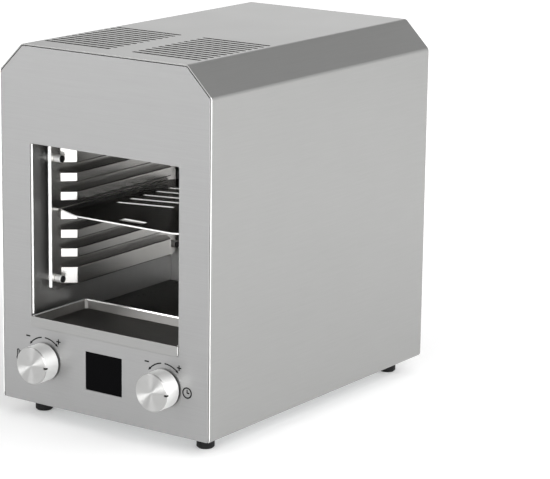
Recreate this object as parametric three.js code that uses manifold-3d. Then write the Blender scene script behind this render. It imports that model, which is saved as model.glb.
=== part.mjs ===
// High-temperature table grill: a folded steel housing round a polished cooking cavity, with
// level racks at both sides, a radiant heater above, a drip tray, a grill plate and two knobs.
// Millimetres. x is to the right, y to the back, z up. The origin is on the table, in the
// middle of the footprint.
import * as THREE from 'three';
import { ConvexGeometry } from 'three/addons/geometries/ConvexGeometry.js';
import { mergeVertices } from 'three/addons/utils/BufferGeometryUtils.js';
import Module from 'manifold-3d';

const wasm = await Module();
wasm.setup();

// Overall sizes
const overallDepth = 420;
const housingWidth = 270;
const housingTop = 395;
const undersideHeight = 16.5;
const chamferSize = 30;

// Sheet steel and fits
const outerSheet = 1.2;
const linerSheet = 0.8;
const bendRadius = 5;
const fitGap = 0.3;
const overrun = 5;

// Front panel: the window stands above the controls, with even margins at both sides
const panelFlange = 10;
const panelEdgeRound = 1.4;
const windowInset = 39.5;
const windowCorner = 2;
const windowHeadHeight = 6.8;
const controlHeight = 64.8;
const controlMargin = 15.7;
const displayWidth = 46.5;
const displayHeight = 40;
const displayCorner = 0.6;

// Top vents: two banks of long slots above the heater
const ventRowCount = 12;
const ventPitch = 10.65;
const ventFrontPlace = 30;
const ventWidth = 4.4;
const ventMiddleInset = 14;
const ventSideInset = 36;

// Wrap and rear panel
const wrapFlange = 14;
const rearInset = 7;
const rearFlangeWidth = 16;
const rearFlangeMargin = 12;
const rearVentRowCount = 9;
const rearVentPitch = 12;
const rearVentHeight = 180;
const rearVentMiddleInset = 18;
const rearVentSideInset = 57;

// Base plate and feet
const basePlateSheet = 1.4;
const footInsetX = 28.7;
const footInsetFront = 31.9;
const footInsetRear = 23.4;
const footRadius = 9.3;
const footBevel = 1.6;
const footBoreRadius = 2.6;
const baseVentRowCount = 6;
const baseVentPitch = 12;
const baseVentFrontPlace = 120;
const baseVentSideInset = 90;

// Cavity liner
const sideRoom = 30;
const rearRoom = 147;
const topRoom = 95;
const sillHeight = 3.1;
const linerReturnGap = 0.9;
const trayRibHeight = 3.2;
const trayRibWidth = 8;
const trayRibInset = 32.3;
const heaterWindowSideInset = 25;
const heaterWindowFront = 34;
const heaterWindowRearInset = 19;

// Level racks
const rackSheet = 1.2;
const rackFaceInset = 8.8;
const rackFront = 34.3;
const rackRearInset = 4;
const rackMargin = 5.7;
const rackBottomMargin = 4.6;
const rackHeadroom = 11;
const rackCorner = 6;
const ribDepth = 13.4;
const ribFrontInset = 15;
const ribRearInset = 13.8;
const ribBevelRun = 11.2;
const levelCount = 6;
const levelsUnderPlateCount = 3;
const firstLevelRise = 53.1;
const ribShare = 0.53333;
const endRibHeight = 19;

// Rack studs
const studFrontInset = 7.5;
const studRearInset = 8;
const studLowInset = 12.7;
const studHighInset = 18;
const studCollarRadius = 4.6;
const studShankRadius = 2.6;
const studNutRadius = 4;
const studNutLength = 9;
const studNutBevel = 0.7;

// Drip tray: its pan narrows downwards, and its rear corners are folded
const traySheet = 1;
const trayClearance = 1.2;
const trayDepth = 87;
const trayLift = 0.5;
const trayWallHeight = 10;
const trayDraft = 3.4;
const trayCorner = 6;
const lipSheet = 1.5;
const lipOverlap = 0.2;
const lipDrop = 0.7;
const lipCorner = 3.5;

// Grill plate
const plateSheet = 1.5;
const plateClearance = 1.7;
const plateFront = 32.5;
const plateRearInset = 8;
const plateFrontTaper = 32.5;
const plateFrontCut = 14.5;
const plateRearCut = 7;
const handleSlotWidth = 29.4;
const handleSlotLength = 9.6;
const handleSlotInset = 11.5;
const handleSlotCorner = 1.5;
const grateSlotCount = 5;
const grateFrontShare = 0.365;
const grateRearMargin = 27.6;
const grateSideMargin = 27.5;
const grateMiddleMargin = 8.5;
const grateSlotRise = 15.7;
const grateSlotWidth = 5;

// Heater above the ceiling
const heaterTubeRadius = 3.3;
const heaterLift = 9;
const heaterLegCount = 4;
const heaterSideInset = 29;
const heaterLegFront = 62;
const heaterLegRearInset = 46;
const heaterTerminalReach = 17;
const holderWidth = 8;
const holderHeight = 8;
const holderSideInset = 4;
const holderFrontPlace = 74;
const holderRearInset = 61;
const reflectorSideInset = 13;
const reflectorFront = 24;
const reflectorRearInset = 9;
const reflectorHeight = 18;
const ceilingInsulationThickness = 26;
const sideInsulationGap = 9.4;
const backInsulationThickness = 18;
const insulationMargin = 10;

// Knobs and rotary encoders
const knobSideInset = 57;
const knobRadius = 19.8;
const knobProjection = 22;
const knobGap = 1.6;
const knobEdge = 0.9;
const knobRecessRadius = 14;
const knobRecessDepth = 7.4;
const knobSocketRadius = 6;
const knobSocketLength = 2.6;
const knobBoreDepth = 11;
const notchWidth = 1.7;
const notchLength = 3;
const notchDepth = 2.4;
const shaftRadius = 3;
const shaftClearance = 0.3;
const bushRadius = 3.9;
const bushTip = 4.6;
const encoderWidth = 14;
const encoderDepth = 7;
const rotorRadius = 5;
const rotorThickness = 2;
const shaftInside = 7.2;
const nutAcross = 11;
const nutThickness = 1.9;
const nutSideCount = 6;

// Display and boards
const glassFlange = 2.4;
const glassBack = 1.4;
const glassRecess = 0.2;
const moduleMargin = 2;
const boardThickness = 1.6;
const controlBoardSideInset = 35;
const controlBoardHeight = 46;
const powerBoardSideInset = 37;
const powerBoardDepth = 76;
const powerBoardRearGap = 25;
const standoffHeight = 8;
const standoffRadius = 3.5;
const standoffInset = 8;
const relayCount = 2;
const relaySize = 20;
const relayHeight = 16;
const transformerSize = 34;
const transformerHeight = 28;
const capacitorRadius = 8;
const capacitorHeight = 24;
const terminalWidth = 48;
const terminalDepth = 18;
const terminalHeight = 20;
const terminalSideInset = 73;
const terminalRearGap = 79;
const terminalBoardGap = 16;
const terminalStepShare = 0.6;
const cutoutRadius = 8;
const cutoutHeight = 7;
const cutoutEarLength = 28;
const cutoutEarThickness = 1.2;
const cutoutDrop = 14;

// Leads, inlet and screws
const leadRadius = 1.8;
const leadBow = 18;
const inletSideInset = 39;
const inletRise = 31.5;
const inletFlangeRadius = 12;
const inletFlangeThickness = 4;
const inletBodyRadius = 8.5;
const inletBoreRadius = 4.2;
const inletInside = 14;
const screwHeadRadius = 4;
const screwHeadHeight = 2;
const screwShankRadius = 1.9;
const screwLength = 9;
const screwHoleClearance = 0.3;
const rearScrewMargin = 28;

// Smoothness
const bendStepCount = 4;
const slotStepCount = 3;
const roundSideCount = 40;
const smallSideCount = 16;
const heaterSideCount = 8;
const heaterStepCount = 110;
const heaterLegStepCount = 10;
const leadSideCount = 8;
const leadStepCount = 44;
const weldTolerance = 1e-4;

// Places that follow from the sizes above: the housing and its window
const frontFace = knobProjection - overallDepth / 2;
const housingDepth = overallDepth - knobProjection;
const halfWidth = housingWidth / 2;
const rearPanelFace = housingDepth - rearInset;
const basePlateBottom = undersideHeight + outerSheet + fitGap;
const basePlateTop = basePlateBottom + basePlateSheet;
const windowHalfWidth = halfWidth - windowInset;
const windowBottom = controlHeight + displayHeight / 2 + controlMargin;
const knobPlace = halfWidth - knobSideInset;

// The cavity and its racks
const cavityHalfWidth = halfWidth - sideRoom;
const cavityDepth = housingDepth - rearRoom;
const cavityFloor = windowBottom - sillHeight;
const cavityCeiling = housingTop - topRoom;
const windowTop = cavityCeiling - windowHeadHeight;
const linerReach = cavityHalfWidth + linerSheet;
const rackBase = cavityHalfWidth - rackFaceInset;
const rackRear = cavityDepth - rackRearInset;
const rackTop = cavityCeiling - rackHeadroom;
const firstLevel = windowBottom + firstLevelRise;
const rackBottom = firstLevel - endRibHeight - rackBottomMargin;
const levelPitch = (rackTop - rackMargin - endRibHeight - firstLevel) / (levelCount - ribShare);
const ribHeight = levelPitch * ribShare;
const rackLevels = Array.from({ length: levelCount }, (_, level) => firstLevel + level * levelPitch);

// The tray, the plate, the heater and the electrical pieces
const trayHalfWidth = windowHalfWidth - trayClearance;
const trayFloor = windowBottom + trayLift;
const trayRim = trayFloor + trayWallHeight;
const plateHalfWidth = rackBase - plateClearance;
const plateRear = cavityDepth - plateRearInset;
const plateBottom = rackLevels[levelsUnderPlateCount] + fitGap;
const heaterHeight = cavityCeiling + heaterLift;
const heaterTerminal = cavityDepth + heaterTerminalReach;
const reflectorHalfWidth = cavityHalfWidth - reflectorSideInset;
const heaterEndPlace = reflectorHalfWidth - heaterSideInset;
const heaterLegPitch = heaterEndPlace * 2 / (heaterLegCount - 1);
const cutoutPlace = cavityCeiling - cutoutDrop;
const terminalPlace = halfWidth - terminalSideInset;
const terminalFront = cavityDepth + terminalRearGap;
const powerBoardLeft = powerBoardSideInset - halfWidth;
const powerBoardRight = terminalPlace - terminalWidth / 2 - terminalBoardGap;
const powerBoardFront = cavityDepth + powerBoardRearGap;

const grill = new THREE.Group();
grill.position.y = frontFace;

const finishes = {
  brushedSteel: { color: 0xc2c2c0, roughness: 0.38, metalness: 1 },
  polishedSteel: { color: 0x8f8f8d, roughness: 0.16, metalness: 1 },
  heatTintedSteel: { color: 0x6f6b66, roughness: 0.4, metalness: 1 },
  turnedAluminium: { color: 0xd4d4d2, roughness: 0.3, metalness: 1 },
  zincPlated: { color: 0xb4b6b4, roughness: 0.35, metalness: 1 },
  rubber: { color: 0x17181a, roughness: 0.85, metalness: 0 },
  blackGlass: { color: 0x050506, roughness: 0.08, metalness: 0 },
  blackPlastic: { color: 0x1c1c1e, roughness: 0.5, metalness: 0 },
  circuitBoard: { color: 0x1f5a36, roughness: 0.5, metalness: 0 },
  ceramic: { color: 0xe6e0d2, roughness: 0.8, metalness: 0 },
  mineralWool: { color: 0xd9d4c6, roughness: 1, metalness: 0 },
  leadSleeve: { color: 0xd8d6cf, roughness: 0.7, metalness: 0 },
};

// Solids from geometry, and back
function solidOf(geometry) {
  const bare = new THREE.BufferGeometry();
  bare.setAttribute('position', geometry.getAttribute('position').clone());
  bare.setIndex(geometry.index);
  const merged = mergeVertices(bare, weldTolerance);
  const corners = merged.index.array;
  const triangles = [];
  for (let i = 0; i < corners.length; i += 3) {
    const [a, b, c] = [corners[i], corners[i + 1], corners[i + 2]];
    if (a !== b && b !== c && c !== a) triangles.push(a, b, c);
  }
  return new wasm.Manifold(new wasm.Mesh({
    numProp: 3,
    vertProperties: new Float32Array(merged.getAttribute('position').array),
    triVerts: new Uint32Array(triangles),
  }));
}

function geometryOf(solid) {
  const mesh = solid.getMesh();
  const geometry = new THREE.BufferGeometry();
  geometry.setAttribute('position', new THREE.BufferAttribute(mesh.vertProperties, 3));
  geometry.setIndex(new THREE.BufferAttribute(mesh.triVerts, 1));
  geometry.computeVertexNormals();
  return geometry;
}

const join = (...solids) => solids.reduce((whole, solid) => whole.add(solid));
const cut = (whole, ...tools) => tools.reduce((rest, tool) => rest.subtract(tool), whole);

function addPiece(name, solid, finish, place = {}) {
  const mesh = new THREE.Mesh(geometryOf(solid), new THREE.MeshStandardMaterial(finish));
  mesh.name = name;
  mesh.position.set(place.x ?? 0, place.y ?? 0, place.z ?? 0);
  mesh.rotation.set(place.turnX ?? 0, 0, place.turnZ ?? 0);
  grill.add(mesh);
}

// A box between two corners, given as ranges along x, y and z
function block([x0, x1], [y0, y1], [z0, z1]) {
  const geometry = new THREE.BoxGeometry(x1 - x0, y1 - y0, z1 - z0);
  geometry.translate((x0 + x1) / 2, (y0 + y1) / 2, (z0 + z1) / 2);
  return solidOf(geometry);
}

// A flat outline pushed along one axis. The outline's two directions are x z along y,
// y z along x, and x y along z.
function prism(shape, axis, from, to) {
  const geometry = new THREE.ExtrudeGeometry(shape, {
    depth: to - from, bevelEnabled: false, curveSegments: slotStepCount,
  });
  const [x, y, z] = [new THREE.Vector3(1), new THREE.Vector3(0, 1), new THREE.Vector3(0, 0, 1)];
  if (axis === 'x') geometry.applyMatrix4(new THREE.Matrix4().makeBasis(y, z, x));
  if (axis === 'y') geometry.applyMatrix4(new THREE.Matrix4().makeBasis(x, z, y.clone().negate()));
  const start = { x: [from, 0, 0], y: [0, to, 0], z: [0, 0, from] }[axis];
  geometry.translate(...start);
  return solidOf(geometry);
}

// A turned piece round the y axis: radius and height pairs, from its low end up its outside
function turned(profile, sides = smallSideCount) {
  const points = profile.map(([radius, height]) => new THREE.Vector2(radius, height));
  return solidOf(new THREE.LatheGeometry(points, sides));
}

const rod = (radius, from, to, sides = smallSideCount) =>
  turned([[0, from], [radius, from], [radius, to], [0, to]], sides);

const shifted = (solid, x, y, z) => solid.translate([x, y, z]);

// The arc points of one bend, each with the sheet's normal to the right of travel
function bend(before, corner, after, radius) {
  const inDirection = corner.clone().sub(before).normalize();
  const outDirection = after.clone().sub(corner).normalize();
  const turn = Math.sign(outDirection.x * inDirection.y - outDirection.y * inDirection.x);
  const normalIn = new THREE.Vector2(inDirection.y, -inDirection.x);
  const normalOut = new THREE.Vector2(outDirection.y, -outDirection.x);
  const reach = turn * radius / (1 + normalIn.dot(normalOut));
  const centre = corner.clone().addScaledVector(normalIn.clone().add(normalOut), reach);
  const angle = Math.acos(THREE.MathUtils.clamp(normalIn.dot(normalOut), -1, 1));
  return Array.from({ length: bendStepCount + 1 }, (_, step) => {
    const swing = -turn * angle * step / bendStepCount;
    const normal = normalIn.clone().rotateAround(new THREE.Vector2(), swing);
    return { at: centre.clone().addScaledVector(normal, -turn * radius), normal };
  });
}

// The cross-section of a sheet folded along a line, with its inside to the right of travel
function foldedSheet(line, thickness, radii) {
  const points = line.map(([x, y]) => new THREE.Vector2(x, y));
  const stations = points.flatMap((point, i) => {
    if (i > 0 && i < points.length - 1) return bend(points[i - 1], point, points[i + 1], radii[i - 1]);
    const [from, to] = i === 0 ? [point, points[1]] : [points[i - 1], point];
    const along = to.clone().sub(from).normalize();
    return [{ at: point, normal: new THREE.Vector2(along.y, -along.x) }];
  });
  const inner = stations.map(({ at, normal }) => at.clone().addScaledVector(normal, thickness));
  return new THREE.Shape([...stations.map(({ at }) => at), ...inner.reverse()]);
}

// A closed outline with rounded corners
function roundedOutline(line, radii) {
  const points = line.map(([x, y]) => new THREE.Vector2(x, y));
  const count = points.length;
  return new THREE.Shape(points.flatMap((point, i) => {
    if (radii[i] === 0) return [point];
    return bend(points[(i + count - 1) % count], point, points[(i + 1) % count], radii[i])
      .map(({ at }) => at);
  }));
}

function roundedRectangle([x0, x1], [y0, y1], radius) {
  const line = [[x0, y0], [x1, y0], [x1, y1], [x0, y1]];
  return roundedOutline(line, line.map(() => radius));
}

// A slot with round ends between two points
function slotOutline([x0, y0], [x1, y1], width) {
  const from = new THREE.Vector2(x0, y0);
  const to = new THREE.Vector2(x1, y1);
  const angle = to.clone().sub(from).angle();
  const shape = new THREE.Shape();
  shape.absarc(to.x, to.y, width / 2, angle - Math.PI / 2, angle + Math.PI / 2);
  shape.absarc(from.x, from.y, width / 2, angle + Math.PI / 2, angle + Math.PI * 3 / 2);
  return shape;
}

// A straight slot along x, centred on its row
const rowSlot = (x0, x1, y, width) =>
  slotOutline([x0 + width / 2, y], [x1 - width / 2, y], width);

// The housing's cross-section above its underside, moved in by a distance
function housingOutline(inset) {
  const shift = inset * Math.tan(Math.PI / 8);
  const [side, top] = [halfWidth - inset, housingTop - inset];
  const [shoulder, brow] = [housingTop - chamferSize - shift, halfWidth - chamferSize - shift];
  return [[-side, shoulder], [-brow, top], [brow, top], [side, shoulder]];
}

// Outer wrap: both sides, the chamfers and the vented top, folded from one sheet
function outerWrap() {
  const line = [
    [-halfWidth + wrapFlange, undersideHeight], [-halfWidth, undersideHeight],
    ...housingOutline(0),
    [halfWidth, undersideHeight], [halfWidth - wrapFlange, undersideHeight],
  ];
  const shell = prism(foldedSheet(line, outerSheet, line.map(() => bendRadius)), 'y', 0, housingDepth);
  const flangeFace = rearPanelFace - outerSheet - fitGap;
  const flangeZ = [undersideHeight + rearFlangeMargin, housingTop - chamferSize - rearFlangeMargin];
  const flanges = [-1, 1].map((side) => {
    const edges = [side * (halfWidth - outerSheet / 2), side * (halfWidth - rearFlangeWidth)];
    return block(edges.sort((a, b) => a - b), [flangeFace - outerSheet, flangeFace], flangeZ);
  });
  const vents = Array.from({ length: ventRowCount }, (_, row) => ventFrontPlace + row * ventPitch)
    .flatMap((y) => [-1, 1].map((side) => {
      const ends = [side * ventMiddleInset, side * (halfWidth - ventSideInset)].sort((a, b) => a - b);
      const slot = rowSlot(ends[0], ends[1], y, ventWidth);
      return prism(slot, 'z', housingTop - outerSheet - overrun, housingTop + overrun);
    }));
  const panelNotch = prism(panelOutline(-fitGap), 'y', -overrun, panelFlange + fitGap);
  const feet = footPlaces().map((place) => post(footRadius + fitGap, 0, basePlateBottom, place));
  return cut(join(shell, ...flanges), panelNotch, ...feet, ...vents, ...rearScrewPlaces().map(screwHole));
}

function rearScrewPlaces() {
  const x = halfWidth - (rearFlangeWidth + outerSheet) / 2;
  const [low, high] = [undersideHeight + rearScrewMargin, housingTop - chamferSize - rearScrewMargin];
  return [[-x, low], [x, low], [-x, high], [x, high]];
}

const screwHole = ([x, z]) => shifted(
  rod(screwShankRadius + screwHoleClearance, rearPanelFace - screwLength - overrun, housingDepth),
  x, 0, z,
);

// The front panel's outline inside the wrap, moved in by a further distance
function panelOutline(extra) {
  const reach = outerSheet + fitGap + extra;
  const bottom = undersideHeight + extra;
  const line = [[-halfWidth + reach, bottom], ...housingOutline(reach), [halfWidth - reach, bottom]];
  return roundedOutline(line, line.map(() => bendRadius - reach));
}

// Front panel: one plate with its edges folded back inside the wrap
function frontPanel() {
  const face = new THREE.ExtrudeGeometry(panelOutline(panelEdgeRound), {
    depth: panelFlange + overrun, bevelSize: panelEdgeRound, bevelThickness: panelEdgeRound,
    bevelSegments: bendStepCount, curveSegments: bendStepCount,
  });
  face.rotateX(Math.PI / 2);
  face.translate(0, panelFlange + overrun + panelEdgeRound, 0);
  const hollow = prism(panelOutline(outerSheet), 'y', outerSheet, panelFlange + overrun * 3);
  const beyond = block(
    [-halfWidth, halfWidth], [panelFlange, panelFlange + overrun * 3], [0, housingTop],
  );
  const windowShape = roundedRectangle(
    [-windowHalfWidth, windowHalfWidth], [windowBottom, windowTop], windowCorner,
  );
  const displayShape = roundedRectangle(
    [-displayWidth / 2, displayWidth / 2],
    [controlHeight - displayHeight / 2, controlHeight + displayHeight / 2], displayCorner,
  );
  const through = (shape) => prism(shape, 'y', -overrun, outerSheet + overrun);
  const bushHoles = [-1, 1].map((side) => shifted(
    rod(bushRadius + shaftClearance, -overrun, outerSheet + overrun),
    side * knobPlace, 0, controlHeight,
  ));
  return cut(solidOf(face), hollow, beyond, through(windowShape), through(displayShape), ...bushHoles);
}

// Rear panel: flat plate with two banks of vents, the cable inlet's hole and the screw holes
function rearPanel() {
  const inset = outerSheet + fitGap;
  const side = halfWidth - inset;
  const line = [[-side, basePlateTop + fitGap], ...housingOutline(inset), [side, basePlateTop + fitGap]];
  const outline = roundedOutline(line, line.map(() => bendRadius - inset));
  const plate = prism(outline, 'y', rearPanelFace - outerSheet, rearPanelFace);
  const vents = Array.from({ length: rearVentRowCount }, (_, row) => rearVentHeight + row * rearVentPitch)
    .flatMap((z) => [-1, 1].map((bank) => {
      const ends = [bank * rearVentMiddleInset, bank * (halfWidth - rearVentSideInset)];
      const slot = rowSlot(...ends.sort((a, b) => a - b), z, ventWidth);
      return prism(slot, 'y', rearPanelFace - overrun, rearPanelFace + overrun);
    }));
  const inletHole = shifted(
    rod(inletBodyRadius + fitGap, rearPanelFace - overrun, rearPanelFace + overrun, roundSideCount),
    halfWidth - inletSideInset, 0, undersideHeight + inletRise,
  );
  return cut(plate, ...vents, inletHole, ...rearScrewPlaces().map(screwHole));
}

const footPlaces = () => [-1, 1].flatMap((side) => [
  [side * (halfWidth - footInsetX), footInsetFront, 'front'],
  [side * (halfWidth - footInsetX), housingDepth - footInsetRear, 'rear'],
]);

function standoffPlaces() {
  const [x0, x1] = [powerBoardLeft + standoffInset, powerBoardRight - standoffInset];
  const [y0, y1] = [powerBoardFront + standoffInset, powerBoardFront + powerBoardDepth - standoffInset];
  return [[x0, y0], [x1, y0], [x0, y1], [x1, y1]];
}

// A round bar standing along z
function post(radius, from, to, [x, y]) {
  return shifted(rod(radius, from, to).rotate([90, 0, 0]), x, y, 0);
}

// Base plate: lies on the wrap's lower flanges, with air intake slots and board standoffs
function basePlate() {
  const side = halfWidth - bendRadius - fitGap;
  const front = panelFlange + fitGap;
  const plate = block(
    [-side, side], [front, rearPanelFace - outerSheet - fitGap], [basePlateBottom, basePlateTop],
  );
  const through = [basePlateBottom - overrun, basePlateTop + overrun];
  const ventEnd = halfWidth - baseVentSideInset;
  const vents = Array.from({ length: baseVentRowCount }, (_, row) => {
    const y = baseVentFrontPlace + row * baseVentPitch;
    return prism(rowSlot(-ventEnd, ventEnd, y, ventWidth), 'z', ...through);
  });
  const holeRadius = screwShankRadius + screwHoleClearance;
  const holes = footPlaces().map(([x, y]) => post(holeRadius, ...through, [x, y]));
  const standoffFoot = basePlateTop - basePlateSheet / 2;
  const standoffs = standoffPlaces()
    .map((place) => post(standoffRadius, standoffFoot, basePlateTop + standoffHeight, place));
  return join(cut(plate, ...vents, ...holes), ...standoffs);
}

// Rubber foot, standing on the table, with a blind bore for its screw
function foot() {
  const top = basePlateBottom - fitGap;
  const bore = top - screwLength;
  return turned([
    [0, 0], [footRadius - footBevel, 0], [footRadius, footBevel], [footRadius, top],
    [footBoreRadius, top], [footBoreRadius, bore], [0, bore],
  ], roundSideCount);
}

// Pan head screw: head upwards, its seat at height zero
function screw(length) {
  const round = screwHeadHeight / 2;
  return turned([
    [0, -length], [screwShankRadius, -length], [screwShankRadius, fitGap], [screwHeadRadius, fitGap],
    [screwHeadRadius, fitGap + round], [screwHeadRadius - round, fitGap + screwHeadHeight],
    [0, fitGap + screwHeadHeight],
  ]);
}

function addHousing() {
  addPiece('outer_wrap', outerWrap(), finishes.brushedSteel);
  addPiece('front_panel', frontPanel(), finishes.brushedSteel);
  addPiece('rear_panel', rearPanel(), finishes.brushedSteel);
  addPiece('base_plate', basePlate(), finishes.zincPlated);
  for (const [x, y, end] of footPlaces()) {
    const place = `${end}_${x < 0 ? 'left' : 'right'}`;
    const upright = { x, y, turnX: Math.PI / 2 };
    addPiece(`foot_${place}`, foot(), finishes.rubber, upright);
    const screwSolid = screw(screwLength);
    addPiece(`foot_screw_${place}`, screwSolid, finishes.zincPlated, { ...upright, z: basePlateTop });
  }
  for (const [x, z] of rearScrewPlaces()) {
    const place = `${z > housingTop / 2 ? 'upper' : 'lower'}_${x < 0 ? 'left' : 'right'}`;
    addPiece(`rear_screw_${place}`, screw(screwLength), finishes.zincPlated, { x, y: rearPanelFace, z });
  }
}

// Side of the cavity: a flat wall whose front edge returns behind the window's edge
function linerSide(side) {
  const behindPanel = outerSheet + fitGap;
  const line = [
    [side * (windowHalfWidth + linerReturnGap), behindPanel + linerSheet],
    [side * cavityHalfWidth, behindPanel + linerSheet],
    [side * cavityHalfWidth, cavityDepth],
  ];
  const shape = foldedSheet(side < 0 ? line : line.reverse(), -linerSheet, [linerSheet / 2]);
  return prism(shape, 'z', cavityFloor, cavityCeiling - fitGap);
}

function linerFloor() {
  const front = outerSheet + fitGap;
  const plate = block(
    [-linerReach, linerReach], [front, cavityDepth - fitGap],
    [cavityFloor - fitGap - linerSheet, cavityFloor - fitGap],
  );
  const ribPlace = trayHalfWidth - trayRibInset;
  const ribs = [-ribPlace, ribPlace].map((place) => block(
    [place - trayRibWidth / 2, place + trayRibWidth / 2],
    [front, trayDepth], [cavityFloor - fitGap - linerSheet / 2, cavityFloor + trayRibHeight],
  ));
  return join(plate, ...ribs);
}

function linerCeiling() {
  const plate = block(
    [-linerReach, linerReach], [outerSheet + fitGap, cavityDepth + linerSheet],
    [cavityCeiling, cavityCeiling + linerSheet],
  );
  return cut(plate, block(
    [heaterWindowSideInset - cavityHalfWidth, cavityHalfWidth - heaterWindowSideInset],
    [heaterWindowFront, cavityDepth - heaterWindowRearInset],
    [cavityCeiling - overrun, cavityCeiling + overrun],
  ));
}

function addLiner() {
  addPiece('liner_left', linerSide(-1), finishes.polishedSteel);
  addPiece('liner_right', linerSide(1), finishes.polishedSteel);
  addPiece('liner_floor', linerFloor(), finishes.polishedSteel);
  addPiece('liner_ceiling', linerCeiling(), finishes.polishedSteel);
  addPiece('liner_back', block(
    [-linerReach, linerReach], [cavityDepth + fitGap, cavityDepth + fitGap + linerSheet],
    [cavityFloor - fitGap - linerSheet, cavityCeiling - fitGap],
  ), finishes.polishedSteel);
  const boardZ = [cavityFloor, cavityCeiling - insulationMargin];
  for (const [name, side] of [['left', -1], ['right', 1]]) {
    const far = halfWidth - outerSheet - sideInsulationGap;
    const x = [side * (linerReach + fitGap), side * far].sort((a, b) => a - b);
    const y = [insulationMargin + panelFlange, cavityDepth];
    addPiece(`side_insulation_${name}`, block(x, y, boardZ), finishes.mineralWool);
  }
  const backY = cavityDepth + linerSheet + fitGap * 2;
  addPiece('back_insulation', block(
    [-cavityHalfWidth, cavityHalfWidth], [backY, backY + backInsulationThickness],
    [cavityFloor, cutoutPlace - cutoutRadius - insulationMargin],
  ), finishes.mineralWool);
}

// The heights between which each rib of a rack stands, from the lowest up
function ribRanges() {
  const between = rackLevels.slice(1).map((top) => [top - ribHeight, top]);
  const topRibBottom = firstLevel + levelCount * levelPitch - ribHeight;
  return [
    [firstLevel - endRibHeight, firstLevel], ...between, [topRibBottom, topRibBottom + endRibHeight],
  ];
}

// Level rack: a pressed sheet whose hollow ribs, bevelled at both ends, carry the grill plate
function rack(side) {
  const [back, face] = [rackBase + rackSheet, rackBase - ribDepth];
  const base = roundedRectangle([rackFront, rackRear], [rackBottom, rackTop], rackCorner);
  const edges = [side * rackBase, side * back].sort((a, b) => a - b);
  const [ribFront, ribRear] = [rackFront + ribFrontInset, rackRear - ribRearInset];
  const plate = prism(base, 'x', ...edges);
  const ribShape = (inset, root) => {
    const skew = inset * Math.tan(Math.atan2(ribDepth, ribBevelRun) / 2);
    const run = ribBevelRun * (ribDepth - inset) / ribDepth;
    return new THREE.Shape([
      [root, ribFront + skew], [face + inset, ribFront + skew + run],
      [face + inset, ribRear - skew - run], [root, ribRear - skew],
    ].map(([x, y]) => new THREE.Vector2(side * x, y)));
  };
  const ribOutline = ribShape(0, rackBase + rackSheet / 2);
  const ribs = ribRanges().map(([low, high]) => prism(ribOutline, 'z', low, high));
  const hollows = ribRanges().map(([low, high]) => prism(
    ribShape(rackSheet, back + overrun), 'z', low + rackSheet, high - rackSheet,
  ));
  const holes = studPlaces().map(([y, z]) => {
    const bore = rod(studShankRadius + fitGap, -overrun, overrun).rotate([0, 0, 90]);
    return shifted(bore, side * rackBase, y, z);
  });
  return cut(join(plate, ...ribs), ...hollows, ...holes);
}

function studPlaces() {
  const [front, rear] = [rackFront + studFrontInset, rackRear - studRearInset];
  const [low, high] = [rackBottom + studLowInset, rackTop - studHighInset];
  return [
    [front, low, 'front_low'], [front, high, 'front_high'],
    [rear, low, 'rear_low'], [rear, high, 'rear_high'],
  ];
}

// Stud with a spacer collar behind the rack and a round nut in front of it
function rackStud() {
  const collarEnd = rackFaceInset - rackSheet - fitGap;
  const nutStart = rackFaceInset + fitGap;
  const nutEnd = nutStart + studNutLength;
  return turned([
    [0, fitGap], [studCollarRadius, fitGap], [studCollarRadius, collarEnd],
    [studShankRadius, collarEnd], [studShankRadius, nutStart], [studNutRadius, nutStart],
    [studNutRadius, nutEnd - studNutBevel], [studNutRadius - studNutBevel, nutEnd], [0, nutEnd],
  ]);
}

function addRacks() {
  for (const [name, side] of [['left', -1], ['right', 1]]) {
    addPiece(`rack_${name}`, rack(side), finishes.heatTintedSteel);
    for (const [y, z, place] of studPlaces()) {
      const inward = { x: side * cavityHalfWidth, y, z, turnZ: side * Math.PI / 2 };
      addPiece(`rack_stud_${name}_${place}`, rackStud(), finishes.zincPlated, inward);
    }
  }
}

// The heater's centre line: long legs joined by half circles, with both ends at the back
function heaterPath() {
  const radius = heaterLegPitch / 2;
  const rear = cavityDepth - heaterLegRearInset;
  const points = [];
  for (let leg = 0; leg < heaterLegCount; leg += 1) {
    const x = (leg - (heaterLegCount - 1) / 2) * heaterLegPitch;
    const towardsFront = leg % 2 === 0;
    const first = leg === 0 ? heaterTerminal : rear;
    const last = leg === heaterLegCount - 1 ? heaterTerminal : rear;
    const ends = towardsFront ? [first, heaterLegFront] : [heaterLegFront, last];
    for (let step = 0; step <= heaterLegStepCount; step += 1) {
      const y = THREE.MathUtils.lerp(...ends, step / heaterLegStepCount);
      points.push(new THREE.Vector3(x, y, heaterHeight));
    }
    for (let step = 1; leg < heaterLegCount - 1 && step < bendStepCount * 2; step += 1) {
      const angle = Math.PI * step / (bendStepCount * 2);
      const swing = towardsFront ? -Math.sin(angle) : Math.sin(angle);
      const across = radius * (1 - Math.cos(angle));
      points.push(new THREE.Vector3(x + across, ends[1] + radius * swing, heaterHeight));
    }
  }
  return points;
}

// A tube of a few sides along a smooth line
function tube(points, radius, sides, steps) {
  const section = new THREE.Shape();
  section.absarc(0, 0, radius, 0, Math.PI * 2);
  const path = new THREE.CatmullRomCurve3(points, false, 'centripetal');
  return solidOf(new THREE.ExtrudeGeometry(section, {
    extrudePath: path, steps, curveSegments: sides / 2, bevelEnabled: false,
  }));
}

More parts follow.
